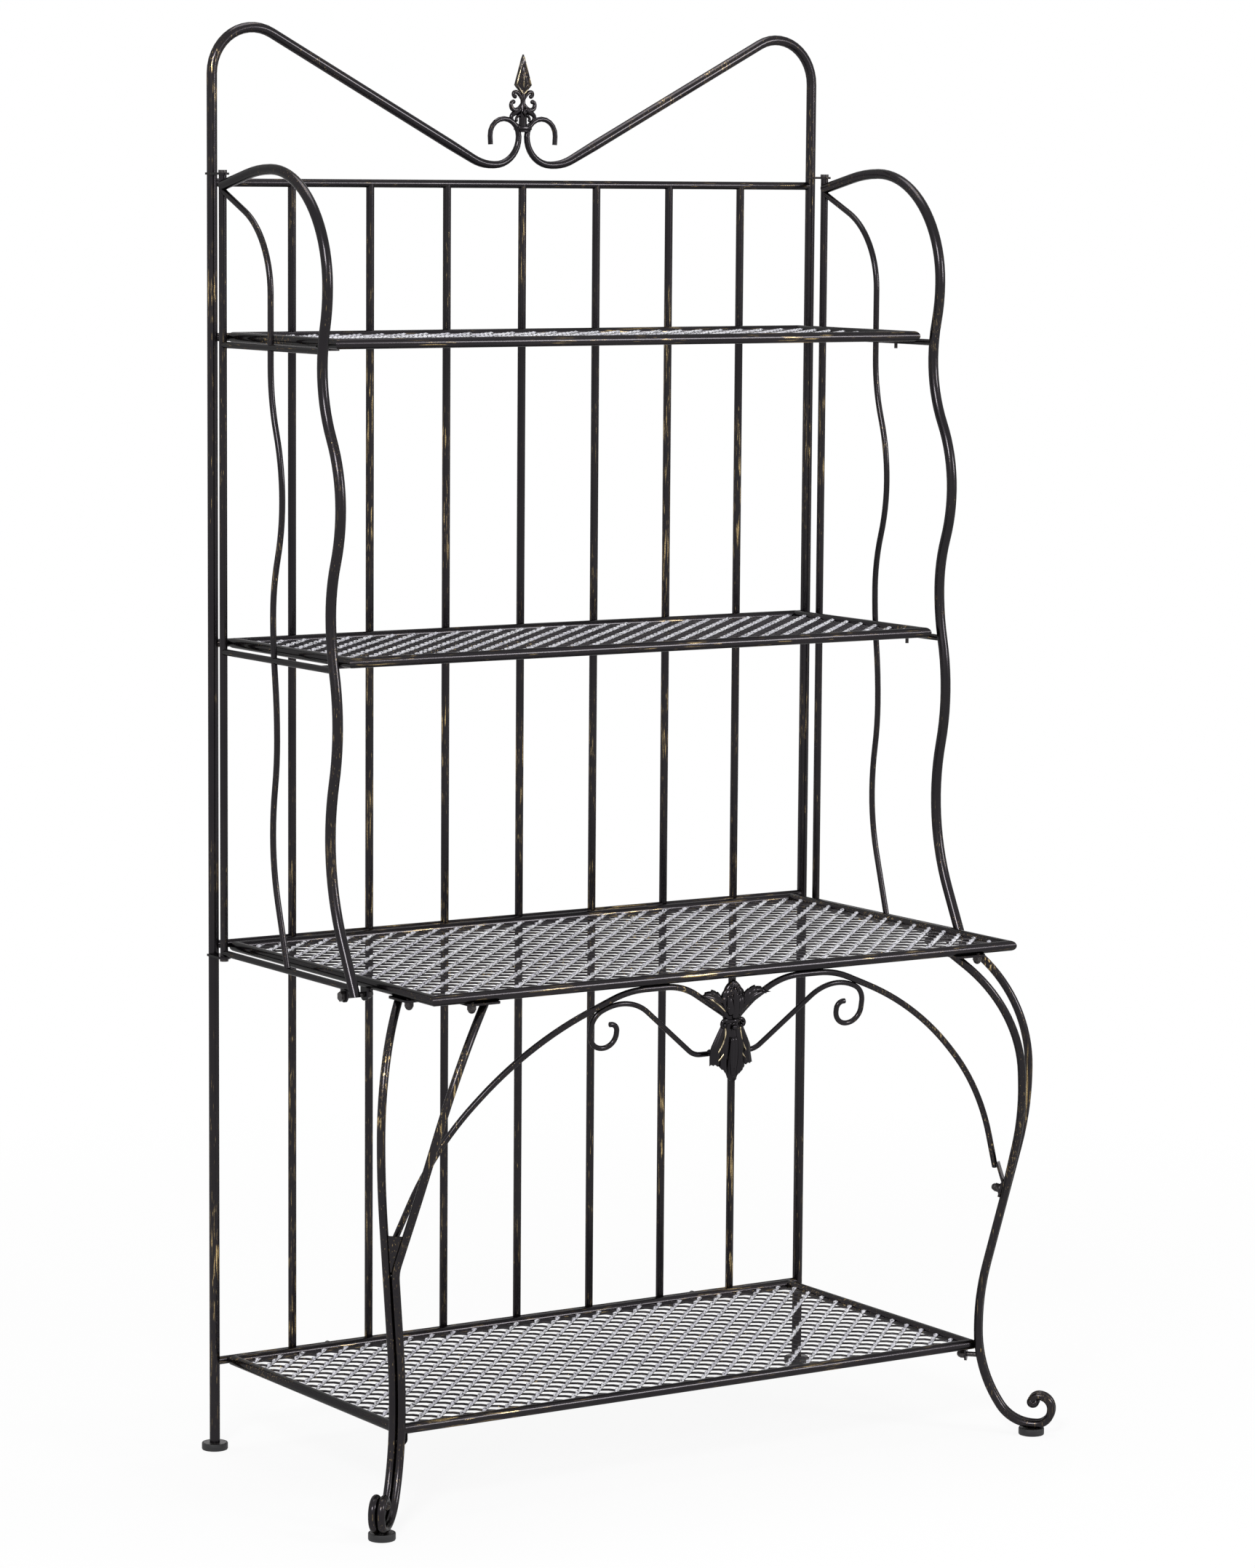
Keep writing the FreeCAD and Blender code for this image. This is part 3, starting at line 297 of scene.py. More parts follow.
upright_enamel = enamel("enamel_upright", UPRIGHT, 0.46)
bar_enamel = enamel("enamel_bar", UPRIGHT, 0.62, shift=(0.4, 0, 1.2))
rail_enamel = enamel("enamel_rail", LENGTHWISE, 0.55)
side_enamel = enamel("enamel_side", UPRIGHT, 0.35, shift=(0, 0, 2.3))
rim_enamel = enamel("enamel_rim", ROUND_THE_RIM, 0.5, shift=(1.1, 0, 0))
cross_enamel = enamel("enamel_crossbar", DEPTHWISE, 0.35)
leg_enamel = enamel("enamel_leg", DOWN_THE_LEG, 0.55, shift=(0, 2.0, 0.7))
scroll_enamel = enamel("enamel_scroll", EVERY_WAY, 0.55)
cast_enamel = enamel("enamel_cast", ON_A_CASTING, 0.42, gloss=0.15)
# pale gold for raised edges of the castings, rubbed gilding and a painted highlight
gilt_edge_and_painted_highlight = gilt_edge_and_highlight("gilt_edge_and_painted_highlight")
wire_enamel = enamel("enamel_wire", EVERY_WAY, 0.2, gloss=0.3)
fastener_steel = fastener("fastener_steel")
foot_rubber = rubber("foot_rubber")

# a node takes the finish of the first of these words that its name holds, so crossbars come
# before bars
FINISH_OF = {
    "crossbars_": cross_enamel,
    "apron_": scroll_enamel,
    "back_post": upright_enamel,
    "bars_": bar_enamel,
    "_rail": rail_enamel,
    "_rim": rim_enamel,
    "_mesh": wire_enamel,
    "side_upright": side_enamel,
    "side_wave": side_enamel,
    "side_rod": side_enamel,
    "leg_rear_tube": leg_enamel,
    "leg_front_tube": leg_enamel,
    "leg_gusset": leg_enamel,
    "brackets": cast_enamel,
    "tabs": cast_enamel,
    "lugs": cast_enamel,
    "finial": cast_enamel,
    "foot_caps": foot_rubber,
    "foot_discs": fastener_steel,
    "pegs": fastener_steel,
    "screws": fastener_steel,
    "bolts": fastener_steel,
    "studs": fastener_steel,
    "washers": fastener_steel,
    "nuts": fastener_steel,
}

for name, node in nodes.items():
    finish = next(made for word, made in FINISH_OF.items() if word in name)
    for slot in node.material_slots:
        slot.material = finish


# ---------------------------------------------------------------- making pieces


def finished(bm, name, material, stands_for=(), weld=1e-6):
    """A mesh piece of the rack from a bmesh: cleaned, faces outwards, riding on the frame."""
    if weld:
        bmesh.ops.remove_doubles(bm, verts=bm.verts, dist=weld)
    bmesh.ops.recalc_face_normals(bm, faces=bm.faces)
    mesh = bpy.data.meshes.new(name)
    bm.to_mesh(mesh)
    bm.free()
    for face in mesh.polygons:
        face.use_smooth = True
    mesh.materials.append(material)
    piece = bpy.data.objects.new(name, mesh)
    scene.collection.objects.link(piece)
    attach(piece, "root")
    if stands_for:
        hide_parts(*stands_for)


def join(bm, part, place):
    """Adds one bmesh, moved to its place, to another, and frees it."""
    mesh = bpy.data.meshes.new("part")
    part.to_mesh(mesh)
    part.free()
    mesh.transform(place)
    bm.from_mesh(mesh)
    bpy.data.meshes.remove(mesh)


def bent_rod(bm, points, radii, place, sides, steps):
    """A round rod along a smooth line, thicker or thinner at each point, added to a bmesh."""
    data = bpy.data.curves.new("rod", "CURVE")
    data.dimensions = "3D"
    data.bevel_depth = 1.0
    data.bevel_resolution = sides
    data.resolution_u = steps
    data.use_fill_caps = True
    line = data.splines.new("NURBS")
    line.points.add(len(points) - 1)
    for point, (x, y, z), radius in zip(line.points, points, radii):
        point.co = (x, y, z, 1)
        point.radius = radius
    line.order_u = min(4, len(points))
    line.use_endpoint_u = True
    holder = bpy.data.objects.new("rod", data)
    scene.collection.objects.link(holder)
    bpy.context.view_layer.update()
    mesh = bpy.data.meshes.new_from_object(holder)
    mesh.transform(place)
    bm.from_mesh(mesh)
    bpy.data.objects.remove(holder)
    bpy.data.curves.remove(data)
    bpy.data.meshes.remove(mesh)


def ball(bm, centre, radius, place, columns=10, rows=7):
    """A small ball at a place given in millimetres, added to a bmesh."""
    made = bmesh.ops.create_uvsphere(
        bm, u_segments=columns, v_segments=rows, radius=radius * MM
    )["verts"]
    bmesh.ops.translate(bm, vec=place @ Vector(centre), verts=made)


def of_kind(items, kind):
    """The verts or the edges among the items that a bmesh operator gives back."""
    return [item for item in items if isinstance(item, kind)]


# ---------------------------------------------------------------- woven mesh of the shelves

CELL = 29.6 * MM
PITCH = CELL / math.sqrt(2)
UNDER_THE_RIM = 2.5 * MM

# the strands at points along one pitch: (place, half width, half height, rise)
CRIMPED = [
    (0, 2.4, 1.3, 1.6),
    (2.4, 2.2, 1.2, 1.3),
    (4.8, 1.7, 0.95, 0.1),
    (10.4, 1.6, 0.9, -0.3),
    (16.1, 1.7, 0.95, 0.1),
    (18.5, 2.2, 1.2, 1.3),
]
BOWED = [
    (0, 2.5, 1.05, -0.8),
    (4.8, 2.5, 1.05, -0.45),
    (10.4, 2.5, 1.05, -0.1),
    (16.1, 2.5, 1.05, -0.45),
]


def strand(bm, length, sections):
    """One strand along X, six-sided, with its sections repeated at every pitch."""
    count = int(length / PITCH)
    start = -count * PITCH
    ring = bmesh.ops.create_circle(bm, segments=6, radius=1)["verts"]
    for axis in "XZ":
        quarter = Matrix.Rotation(math.pi / 2, 3, axis)
        bmesh.ops.rotate(bm, verts=ring, cent=(0, 0, 0), matrix=quarter)
    # the flats above and below are widened, and their height made one
    flats = [vert for vert in ring if abs(vert.co.z) > 0.3]
    bmesh.ops.scale(bm, vec=(1, 1.4, 1.155), verts=flats)
    edges = list({edge for vert in ring for edge in vert.link_edges})
    centre = Vector()
    wide = 1.0
    tall = 1.0
    first = True
    for bay in range(2 * count):
        for along, half_width, half_height, rise in sections:
            if not first:
                grown = bmesh.ops.extrude_edge_only(bm, edges=edges)["geom"]
                ring = of_kind(grown, bmesh.types.BMVert)
                edges = of_kind(grown, bmesh.types.BMEdge)
            first = False
            target = Vector((start + bay * PITCH + along * MM, 0, rise * MM))
            grow = (1, half_width * MM / wide, half_height * MM / tall)
            bmesh.ops.scale(bm, vec=grow, verts=ring, space=Matrix.Translation(-centre))
            bmesh.ops.translate(bm, vec=target - centre, verts=ring)
            centre = target
            wide = half_width * MM
            tall = half_height * MM


def woven_layer(node, sections, turn):
    """Strands side by side at an angle to the rim, cut inside the rim tube."""
    low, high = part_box(node)
    reach = (high - low).length / 2 + 2 * PITCH
    one = bmesh.new()
    strand(one, reach, sections)
    mesh = bpy.data.meshes.new("strand")
    one.to_mesh(mesh)
    one.free()
    mesh.transform(Matrix.Translation((PITCH / 2, 0, 0)))
    bm = bmesh.new()
    rows = int(reach / PITCH)
    for row in range(-rows, rows + 1):
        laid = mesh.copy()
        laid.transform(Matrix.Translation((0, (row + 0.5) * PITCH, 0)))
        laid.transform(Matrix.Rotation(math.radians(turn), 4, "Z"))
        bm.from_mesh(laid)
        bpy.data.meshes.remove(laid)
    bpy.data.meshes.remove(mesh)
    bmesh.ops.translate(bm, vec=(low + high) / 2, verts=bm.verts)
    for point, outward in (
        ((low.x - UNDER_THE_RIM, 0, 0), (-1, 0, 0)),
        ((high.x + UNDER_THE_RIM, 0, 0), (1, 0, 0)),
        ((0, low.y - UNDER_THE_RIM, 0), (0, -1, 0)),
        ((0, high.y + UNDER_THE_RIM, 0), (0, 1, 0)),
    ):
        cut = bmesh.ops.bisect_plane(
            bm,
            geom=bm.verts[:] + bm.edges[:] + bm.faces[:],
            dist=1e-7,
            plane_co=point,
            plane_no=outward,
            clear_outer=True,
        )["geom_cut"]
        bmesh.ops.holes_fill(bm, edges=of_kind(cut, bmesh.types.BMEdge), sides=0)
    return bm


def woven_panel(shelf):
    """Crimped strands one way over slightly bowed ones the other way."""
    node = shelf + "_mesh"
    low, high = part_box(node)
    # the crimped strands carry a painted highlight of pale metal on their tops
    pale = crimped_wire(shelf + "_wire", (low.z + high.z) / 2)
    over = woven_layer(node, CRIMPED, 45)
    finished(over, shelf + "_strands", pale, [node], weld=0)
    under = woven_layer(node, BOWED, 135)
    finished(under, shelf + "_underlay", wire_enamel, weld=0)


for shelf in ("upper_shelf", "lower_shelf", "worktop", "bottom_shelf"):
    woven_panel(shelf)


# ---------------------------------------------------------------- cast spear finial

# across from the middle, and up from the tops of the crown's curls
SPEAR_POINT = 75.2
BLADE = [(0, SPEAR_POINT), (-11.2, 39.5), (0, 27.5), (11.2, 39.5)]
BLADE_GAUGE = 3.4
# each step of the blade's face: how far in from the last one, and how far out
BLADE_STEPS = [(0.7, 0.6), (1.5, 0), (0.8, -1.2), (1.6, 0.2), (0.9, 1.0)]
STEM = [(0, 36), (0, 29), (0, 21), (0, 14), (0, 6), (0, -4), (0, -12), (0, -15.5)]
STEM_RADII = [1.6, 3.4, 2.6, 3.4, 5.2, 4.4, 4.6, 4.0]
UPPER_HOOK = [
    (0, 21),
    (2.6, 26),
    (6.5, 30.5),
    (11.0, 32.2),
    (14.0, 29.6),
    (12.6, 26.0),
    (10.6, 25.6),
]
LOWER_HOOK = [
    (0, 19),
    (3, 13.5),
    (8.5, 9.5),
    (14.5, 10.5),
    (17.2, 15.5),
    (15.6, 20.2),
    (12.8, 20.6),
]
SHOULDER = [
    (3, 12),
    (9, 7.5),
    (15.2, 5.5),
    (16.6, 0.5),
    (13.5, -4.0),
    (7, -9.5),
    (2, -12),
]
HEART = [(1.5, 5.5), (5.5, 4.5), (8.8, 2.0), (10.2, -1.2), (8.6, -2.4)]
INNER_RIB = [(2, 8), (3.5, 2), (4.2, -5), (2.8, -12)]
HALF_FINIAL = [
    (UPPER_HOOK, [2.2, 2.3, 2.4, 2.4, 2.3, 2.2, 2.2]),
    (LOWER_HOOK, [2.4, 2.6, 2.8, 2.8, 2.6, 2.3, 2.1]),
    (SHOULDER, [3.6, 3.4, 2.8, 2.4, 2.4, 3.0, 3.6]),
    (HEART, [2.0, 2.0, 1.7, 1.5, 1.7]),
    (INNER_RIB, [1.8, 1.8, 1.8, 2.0]),
]
# the balls in the curls of the hooks and the heart: (across, up, radius)
CURL_BALLS = [(11.0, 26.0, 2.6), (13.0, 19.8, 2.6), (8.9, -1.8, 2.0)]
# the diamond boss between the hooks: its outer and inner radius, its depth, its stretch
BOSS_OUTER = 5.4
BOSS_INNER = 1.6
BOSS_DEPTH = 2.6
BOSS_STRETCH = (0.75, 1, 1.25)
BOSS_AT = (0, -5.4, 7.5)
# the collar that holds the two stems, a broad band over a narrow one: (level, width, height)
COLLAR = [(-10.9, 17.8, 4.4), (-14.2, 14.4, 2.2)]
COLLAR_DEPTH = 13.4
COLLAR_ROUNDING = 0.9
# bright rods on both faces, pale gold that is rubbed gilding and a painted highlight: along the
# border, this far from the blade's middle, and along the ridge, as (from the middle, up)
BORDER_DEPTH = 2.4
BRIGHT_BORDER = [
    ([(0.4, 72.4), (5.1, 56), (10.0, 39.6)], [0.5, 0.7, 0.75]),
    ([(10.0, 39.6), (5.2, 34.2), (0.5, 28.9)], [0.75, 0.75, 0.6]),
]
BRIGHT_RIDGE = [(1.6, 56), (2.2, 48), (2.4, 42), (1.8, 36)]
BRIGHT_RIDGE_RADII = [0.3, 0.8, 1.0, 0.4]

finial_low, finial_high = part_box("crown_finial")
curl_top = finial_high.z - SPEAR_POINT * MM
finial_middle = (finial_low.y + finial_high.y) / 2
finial_place = Matrix.Translation((0, finial_middle, curl_top)) @ IN_MM


def spear_blade():
    """A kite with a raised border, a sunk field and a ridge down the middle, on both faces."""
    blade = bmesh.new()
    corners = [blade.verts.new((x, -BLADE_GAUGE / 2, z)) for x, z in BLADE]
    face = blade.faces.new(corners)
    body = bmesh.ops.extrude_face_region(blade, geom=[face])["geom"]
    behind = of_kind(body, bmesh.types.BMVert)
    bmesh.ops.translate(blade, vec=(0, BLADE_GAUGE, 0), verts=behind)
    bmesh.ops.recalc_face_normals(blade, faces=blade.faces)
    for side in (-1, 1):
        field = [face for face in blade.faces if face.normal.y * side > 0.9]
        for inwards, outwards in BLADE_STEPS:
            bmesh.ops.inset_region(
                blade, faces=field, thickness=inwards, depth=outwards, use_even_offset=True
            )
    return blade


bm = bmesh.new()
join(bm, spear_blade(), finial_place)
bent_rod(bm, [(x, 0, z) for x, z in STEM], STEM_RADII, finial_place, 3, 5)
for side in (-1, 1):
    for line, radii in HALF_FINIAL:
        bent_rod(bm, [(side * x, 0, z) for x, z in line], radii, finial_place, 3, 5)
    for x, z, radius in CURL_BALLS:
        ball(bm, (side * x, 0, z), radius, finial_place)

boss = bmesh.ops.create_cone(
    bm,
    cap_ends=True,
    segments=4,
    radius1=BOSS_OUTER * MM,
    radius2=BOSS_INNER * MM,
    depth=BOSS_DEPTH * MM,
)["verts"]
bmesh.ops.rotate(bm, verts=boss, cent=(0, 0, 0), matrix=Matrix.Rotation(math.pi / 2, 3, "X"))
bmesh.ops.scale(bm, vec=BOSS_STRETCH, verts=boss)
bmesh.ops.translate(bm, vec=finial_place @ Vector(BOSS_AT), verts=boss)

for level, width, tall in COLLAR:
    band = bmesh.ops.create_cube(bm, size=1)["verts"]
    bmesh.ops.scale(bm, vec=(width * MM, COLLAR_DEPTH * MM, tall * MM), verts=band)
    bmesh.ops.translate(bm, vec=finial_place @ Vector((0, 0, level)), verts=band)
    bmesh.ops.bevel(
        bm,
        geom=list({edge for vert in band for edge in vert.link_edges}),
        offset=COLLAR_ROUNDING * MM,
        offset_type="OFFSET",
        affect="EDGES",
        segments=2,
        profile=0.5,
        material=-1,
    )
finished(bm, "finial_casting", cast_enamel, ["crown_finial"], weld=1e-7)

# the blade's raised border and its ridge, in pale gold: rubbed gilding and a painted highlight
bm = bmesh.new()
for front in (-1, 1):
    for side in (-1, 1):
        for line, radii in BRIGHT_BORDER:
            border = [(side * x, front * BORDER_DEPTH, z) for x, z in line]
            bent_rod(bm, border, radii, finial_place, 2, 3)
    ridge = [(0, front * y, z) for y, z in BRIGHT_RIDGE]
    bent_rod(bm, ridge, BRIGHT_RIDGE_RADII, finial_place, 2, 3)
finished(bm, "finial_bright_edges", gilt_edge_and_painted_highlight, weld=1e-7)


# ---------------------------------------------------------------- cast acanthus leaf

# across from the middle, back from the plane of the leaf, and up from its top
CASTING_WALL = 1.6
PLANE_BEHIND_THE_FRONT = 12.6
LEAN = math.radians(2.5)
WAIST = [(-11, -5.0, -45), (-6, -8.0, -43.4), (0, -9.2, -43), (6, -8.0, -43.4), (11, -5.0, -45)]
WAIST_RADII = [2.4, 2.7, 3.0, 2.7, 2.4]
WAIST_CURL = [
    (7, -6.5, -43),
    (11, -6.6, -41.4),
    (14.6, -6.4, -43.6),
    (15.6, -6.2, -48),
    (13.2, -6.2, -51),
    (10.8, -6.4, -48.6),
]
LOW_CURL = [(2, -9.5, -34), (6, -11, -26), (10.5, -9.6, -24), (11, -9, -29), (8, -9.4, -30)]
MIDDLE_CURL = [
    (1.5, -10, -22),
    (4.5, -10.8, -14),
    (8.5, -9.4, -11.5),
    (9.5, -9, -16),
    (6.8, -9.4, -17.5),
]
HIGH_CURL = [
    (1.2, -8.6, -11),
    (3.0, -8.6, -5),
    (6.0, -7.4, -3.4),
    (6.8, -7.2, -7),
    (4.6, -7.6, -8.2),
]
CURLS = [
    (WAIST_CURL, [2.4, 2.5, 2.4, 2.1, 1.9, 1.8]),
    (LOW_CURL, [1.5, 1.8, 1.7, 1.5, 1.5]),
    (MIDDLE_CURL, [1.4, 1.7, 1.6, 1.4, 1.4]),
    (HIGH_CURL, [1.2, 1.4, 1.3, 1.2, 1.2]),
]
BERRIES = [
    ((12.6, -8.4, -47.4), 2.1),
    ((8.8, -10.6, -28.4), 2.0),
    ((7.4, -10.6, -16.4), 1.8),
    ((5.2, -8.6, -7.2), 1.6),
]
PEARL_AT = (0, -9.6, -50.5)
PEARL_RADIUS = 3.3
# ribs of pale gold on the leaf's raised edges: rubbed gilding and a painted highlight
OUTER_RIB = [(10.4, -6.4, -51), (8.8, -8.0, -60), (13.4, -8.0, -71), (20, -6.4, -80)]
SKIRT_RIB = [(6.4, -8.6, -72), (9.6, -8.8, -78), (15.6, -7.6, -85), (21, -7.4, -91)]
WING_RIB = [(12, -8.4, -32), (20, -7.8, -23.5), (29, -6.8, -16.5), (38, -5.0, -13.5)]
BRIGHT_RIBS = [
    (OUTER_RIB, [1.0, 1.2, 1.2, 0.8]),
    (SKIRT_RIB, [0.7, 1.1, 1.0, 0.6]),
    (WING_RIB, [0.7, 1.0, 0.9, 0.6]),
]
MIDDLE_RIB = [(0, -9.6, -66), (0, -10.6, -80), (0, -10.0, -94), (0, -9.0, -108)]
MIDDLE_RIB_RADII = [0.5, 0.9, 0.9, 0.5]
# a lug from the end of each scroll to the back of the skirt
LUG_RISE = 4.5
LUG_RADII = [4.0, 4.0, 3.4]

leaf_low, leaf_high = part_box("apron_leaf")
scroll_low, scroll_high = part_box("apron_scroll_right")
leaf_origin = Vector((0, leaf_low.y + PLANE_BEHIND_THE_FRONT * MM, leaf_high.z))
leaf_place = Matrix.Translation(leaf_origin) @ Matrix.Rotation(LEAN, 4, "X") @ IN_MM


def leaf_patch(bm, columns, rows, shape):
    """A grid bent to the shape, which maps two shares from 0 to 1 to a point, with a wall."""
    sheet = bmesh.new()
    bmesh.ops.create_grid(sheet, x_segments=columns, y_segments=rows, size=0.5)
    for vert in sheet.verts:
        vert.co = shape(vert.co.x + 0.5, vert.co.y + 0.5)
    bmesh.ops.recalc_face_normals(sheet, faces=sheet.faces)
    bmesh.ops.solidify(sheet, geom=sheet.faces[:], thickness=CASTING_WALL)
    bmesh.ops.recalc_face_normals(sheet, faces=sheet.faces)
    join(bm, sheet, leaf_place)


def skirt(u, t):
    """The skirt of the leaf: a fluted bell with a toothed lower edge and a pointed tip."""
    side = 2 * u - 1
    edge = abs(side)
    teeth = 2.0 * (6 * edge % 1) * min(1.0, 4 * edge)
    low = 94 + 19.5 * math.exp(-((edge / 0.42) ** 2)) - teeth
    drop = 44 + t * (low - 44)
    half = 11 + 0.5 * min(drop - 44, 30) + 0.1 * max(0.0, drop - 74)
    waves = 1.1 * math.cos(5 * math.pi * side) + 0.4 * math.cos(15 * math.pi * side)
    flute = waves * min(1.0, 0.2 + t)
    crown = 3.2 * (1 - side * side) + 2.0 * math.sin(math.pi * t) * (1 - edge**3)
    lip = -2.2 * max(0.0, t - 0.75) / 0.25
    return Vector((side * half, -3.0 - crown - flute + lip, -drop))


def wing(sign):
    """A leaf that sweeps out along the arch: smooth below, toothed above."""

    def shape(t, v):
        under = Vector((9 + 33 * t, 0, -40.5 + 27.5 * t**0.9))
        over = Vector((10 + 32 * t, 0, -22 + 9 * t + 9.5 * math.sin(math.pi * t**0.85)))
        teeth = 2.6 * (3.5 * t % 1) * (1 - 0.3 * t)
        at = under.lerp(over, v)
        at.z += v**3 * teeth
        at.x += v**3 * teeth * 0.6
        bulge = 5.2 * math.sin(math.pi * (0.1 + 0.8 * v)) * (1 - 0.4 * t)
        at.y = -2.6 - bulge - 0.9 * math.cos(5 * math.pi * v)
        at.x *= sign
        return at

    return shape


def bud(u, t):
    """The scaled bud above the waist: an egg in outline, with overlapping scales."""
    side = 2 * u - 1
    swell = math.sin(math.pi * min(1.0, 0.2 + 0.8 * t**1.5))
    half = 1.5 + 13.3 * swell + 0.7 * abs(math.sin(5 * math.pi * t))
    row = math.floor(5 * t)
    scales = 1.5 * (5 * t - row) * abs(math.cos(math.pi * (2.5 * side + 0.5 * row)))
    dome = 6.5 * math.sqrt(max(0.0, 1 - side * side)) * math.sqrt(max(0.0, swell))
    return Vector((side * half, -2.6 - dome - scales, -43 + 44.5 * t))


def petal(length, width, rise, turn, foot):
    """A pointed leaf with a vein down its middle."""

    def shape(u, t):
        side = 2 * u - 1
        half = width * math.sin(math.pi * (0.12 + 0.88 * t) ** 0.8) ** 0.8 + 0.2
        ridge = rise * math.sin(math.pi * min(1.0, 0.15 + t * 0.8)) * (1 - side * side * 0.8)
        vein = 0.9 * math.exp(-((side / 0.22) ** 2))
        at = Vector((side * half, -3.5 - ridge + vein, length * t))
        return Matrix.Rotation(turn, 3, "Y") @ at + Vector(foot)

    return shape


bm = bmesh.new()
ribs = bmesh.new()
leaf_patch(bm, 48, 16, skirt)
leaf_patch(bm, 30, 30, bud)
leaf_patch(bm, 8, 12, petal(36, 3.8, 5.0, 0, (0, -5.2, -40)))
leaf_patch(bm, 10, 12, petal(50, 5.0, 1.4, math.pi, (0, -5.6, -62)))
bent_rod(bm, WAIST, WAIST_RADII, leaf_place, 2, 6)
for sign in (-1, 1):
    leaf_patch(bm, 18, 12, wing(sign))
    leaf_patch(bm, 8, 10, petal(24, 4.0, 4.6, sign * 0.22, (sign * 4.0, -4.4, -36)))
    for line, radii in CURLS:
        bent_rod(bm, [(sign * x, y, z) for x, y, z in line], radii, leaf_place, 2, 5)
    for (x, y, z), radius in BERRIES:
        ball(bm, (sign * x, y, z), radius, leaf_place)
    for line, radii in BRIGHT_RIBS:
        bent_rod(ribs, [(sign * x, y, z) for x, y, z in line], radii, leaf_place, 2, 5)
    scroll_end = Vector((sign * 22, scroll_high.y / MM - 5, scroll_low.z / MM + LUG_RISE))
    skirt_back = Vector((sign * 21, leaf_low.y / MM + 13.5, scroll_low.z / MM + LUG_RISE))
    lug = [scroll_end, scroll_end.lerp(skirt_back, 0.5), skirt_back]
    bent_rod(bm, lug, LUG_RADII, IN_MM, 2, 3)
bent_rod(ribs, MIDDLE_RIB, MIDDLE_RIB_RADII, leaf_place, 2, 6)
ball(bm, PEARL_AT, PEARL_RADIUS, leaf_place, columns=12, rows=9)
finished(bm, "leaf_casting", cast_enamel, ["apron_leaf"], weld=1e-7)
# the ribs carry the pale gold of rubbed gilding and a painted highlight
finished(ribs, "leaf_bright_ribs", gilt_edge_and_painted_highlight, weld=1e-7)


# ---------------------------------------------------------------- press-on feet

# out from the middle and up from the floor: over the outside, the rim and down into the cup
CAP_RADIUS = 15.25
CAP_OUTLINE = [
    (0.0, 0.0),
    (13.6, 0.0),
    (14.8, 0.35),
    (CAP_RADIUS, 1.3),
    (CAP_RADIUS, 7.4),
    (14.95, 8.2),
    (14.4, 8.5),
    (13.9, 8.4),
    (13.55, 8.0),
    (13.5, 6.0),
    (0.0, 6.0),
]


def turned_cap():
    """A rubber cup for one foot, turned about its own middle."""
    cap = bmesh.new()
    corners = [cap.verts.new((radius * MM, 0, level * MM)) for radius, level in CAP_OUTLINE]
    outline = [cap.edges.new(pair) for pair in zip(corners, corners[1:])]
    bmesh.ops.spin(
        cap,
        geom=corners + outline,
        cent=(0, 0, 0),
        axis=(0, 0, 1),
        angle=2 * math.pi,
        steps=48,
        use_merge=True,
        use_duplicate=False,
    )
    return cap


caps_low, caps_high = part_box("foot_caps")
posts_low, posts_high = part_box("back_post_right")
back_y = (posts_low.y + posts_high.y) / 2
back_x = posts_high.x - (posts_high.y - posts_low.y) / 2
leg_x = caps_high.x - CAP_RADIUS * MM
leg_y = caps_low.y + CAP_RADIUS * MM
bm = bmesh.new()
for x, y in ((leg_x, leg_y), (-leg_x, leg_y), (back_x, back_y), (-back_x, back_y)):
    join(bm, turned_cap(), Matrix.Translation((x, y, caps_low.z)))
finished(bm, "turned_feet", foot_rubber, ["foot_caps"])


# ---------------------------------------------------------------- rolled tips of the scrolls

# outward from above the foot, and up from the floor, at the end of each of a leg's two tubes
TIP_LINE = [
    (-0.2, 43),
    (-0.6, 39.6),
    (1.4, 38.2),
    (4.0, 38.4),
    (5.8, 40.4),
    (4.6, 42.8),
    (2.6, 41.8),
]
TIP_RADII = [4.6, 5.6, 5.4, 4.7, 4.2, 3.6, 2.6]
HALF_LEG_TUBE = 4.75

bm = bmesh.new()
for side in (-1, 1):
    foot = Vector((side * leg_x, leg_y, 0)) / MM
    outward = Vector((side, -1, 0)).normalized()
    across = Vector((side, 1, 0)).normalized()
    for lane in (-HALF_LEG_TUBE, HALF_LEG_TUBE):
        start = foot + across * lane
        line = [start + outward * reach + Vector((0, 0, level)) for reach, level in TIP_LINE]
        bent_rod(bm, line, TIP_RADII, IN_MM, 5, 8)
finished(bm, "scroll_tips", leg_enamel)


# ---------------------------------------------------------------- camera

CAMERA_AT = (-3.1577, -4.8482, 1.4880)
LOOK = math.radians(-33.09)
TILT = math.radians(6.93)
ROLL = math.radians(0.443)

backward = Vector(
    (
        math.sin(LOOK) * math.cos(TILT),
        -math.cos(LOOK) * math.cos(TILT),
        math.sin(TILT),
    )
)
level_right = Vector((math.cos(LOOK), math.sin(LOOK), 0))
level_up = backward.cross(level_right)
right = level_right * math.cos(ROLL) + level_up * math.sin(ROLL)
up = level_up * math.cos(ROLL) - level_right * math.sin(ROLL)

camera_data = bpy.data.cameras.new("camera")
camera_data.lens = 77.0
camera_data.sensor_height = 24
camera_data.sensor_fit = "VERTICAL"
camera = bpy.data.objects.new("camera", camera_data)
scene.collection.objects.link(camera)
aimed = Matrix((right, up, backward)).transposed().to_4x4()
camera.matrix_world = Matrix.Translation(CAMERA_AT) @ aimed
scene.camera = camera


# ---------------------------------------------------------------- studio

MIDDLE_OF_THE_RACK = Vector((0, 0, 0.8))
SKY_LIGHT = 0.38
FLOOR_REACH = 9


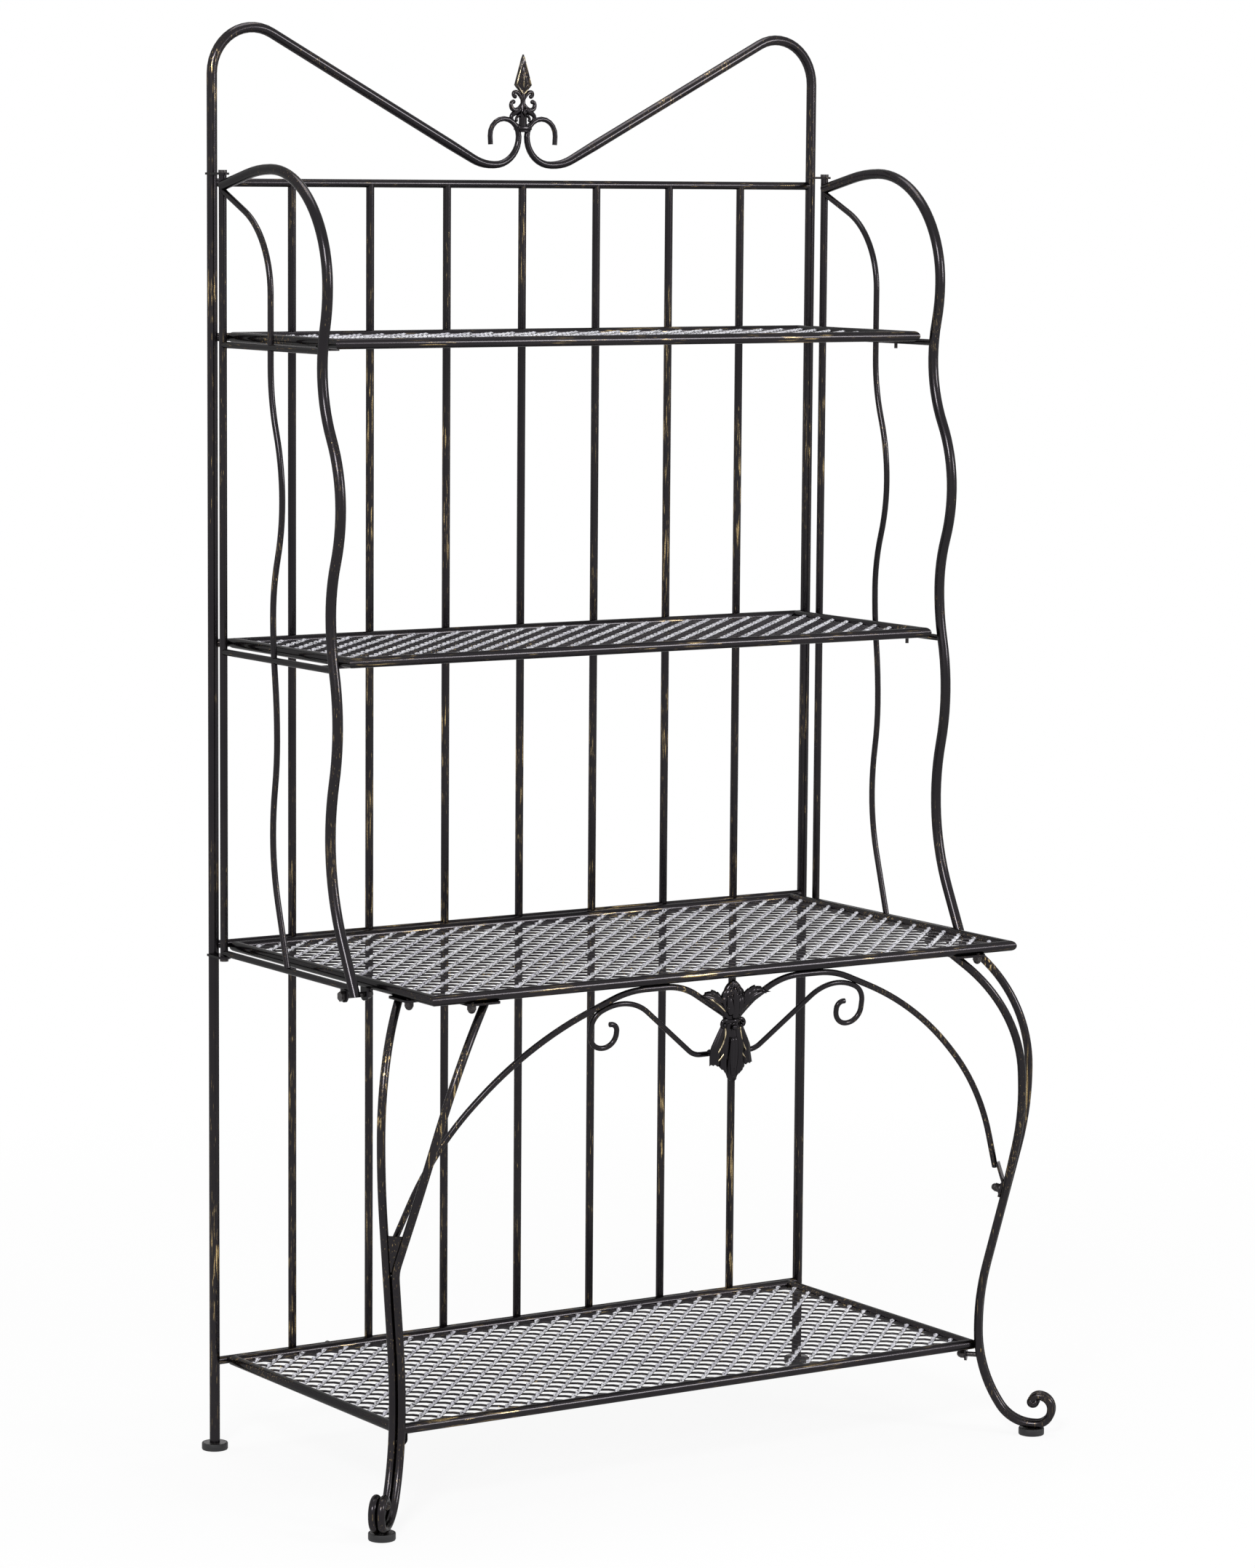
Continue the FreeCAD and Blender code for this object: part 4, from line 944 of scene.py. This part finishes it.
def lamp(name, at, size, power):
    """A soft square lamp that faces the middle of the rack, in metres and watts."""
    data = bpy.data.lights.new(name, "AREA")
    data.shape = "SQUARE"
    data.size = size
    data.energy = power
    made = bpy.data.objects.new(name, data)
    scene.collection.objects.link(made)
    made.location = at
    made.rotation_euler = (MIDDLE_OF_THE_RACK - Vector(at)).to_track_quat("-Z", "Y").to_euler()


lamp("key_lamp", (-3.2, -3.0, 3.2), 1.1, 150)
lamp("fill_lamp", (2.6, -3.8, 2.2), 1.0, 80)
lamp("top_lamp", (0.2, 0.4, 3.9), 1.6, 45)


def ray(f, kind):
    """1 for light paths of one kind, such as Camera, and 0 for the others."""
    return f.node("ShaderNodeLightPath", output="Is {} Ray".format(kind))


# a sky that is white where it is seen, and dimmer as a light
f = Finish(bpy.data.worlds.new("studio"))
seen = (ray(f, "Camera") + ray(f, "Glossy") + ray(f, "Transmission")).at_most(1.0)
strength = 1.0 - (1.0 - SKY_LIGHT) * (1.0 - seen)
sky = f.node("ShaderNodeBackground", inputs={"Color": WHITE, "Strength": strength})
f.node("ShaderNodeOutputWorld", inputs={"Surface": sky})
scene.world = f.owner

# a floor that takes the rack's shadow and fades to white away from it
f = Finish(bpy.data.materials.new("studio_floor"))
paint = f.node("ShaderNodeBsdfDiffuse", inputs={"Color": (0.9, 0.9, 0.9, 1)})
glow = f.node("ShaderNodeEmission", inputs={"Color": WHITE, "Strength": 1.0})
where = f.node("ShaderNodeTexCoord", output="Object")
away = f.node("ShaderNodeVectorMath", {"operation": "LENGTH"}, {0: where}, output="Value")
seen = (ray(f, "Camera") + ray(f, "Glossy")).at_most(1.0)
share = seen * (0.90 + 0.10 * away.within(0.7, 2.2))
mixed = f.node("ShaderNodeMixShader", inputs={0: share, 1: paint, 2: glow})
f.node("ShaderNodeOutputMaterial", inputs={"Surface": mixed})

bm = bmesh.new()
bmesh.ops.create_grid(bm, x_segments=1, y_segments=1, size=FLOOR_REACH)
mesh = bpy.data.meshes.new("floor")
bm.to_mesh(mesh)
bm.free()
mesh.materials.append(f.owner)
floor = bpy.data.objects.new("floor", mesh)
scene.collection.objects.link(floor)

scene.view_settings.view_transform = "Standard"
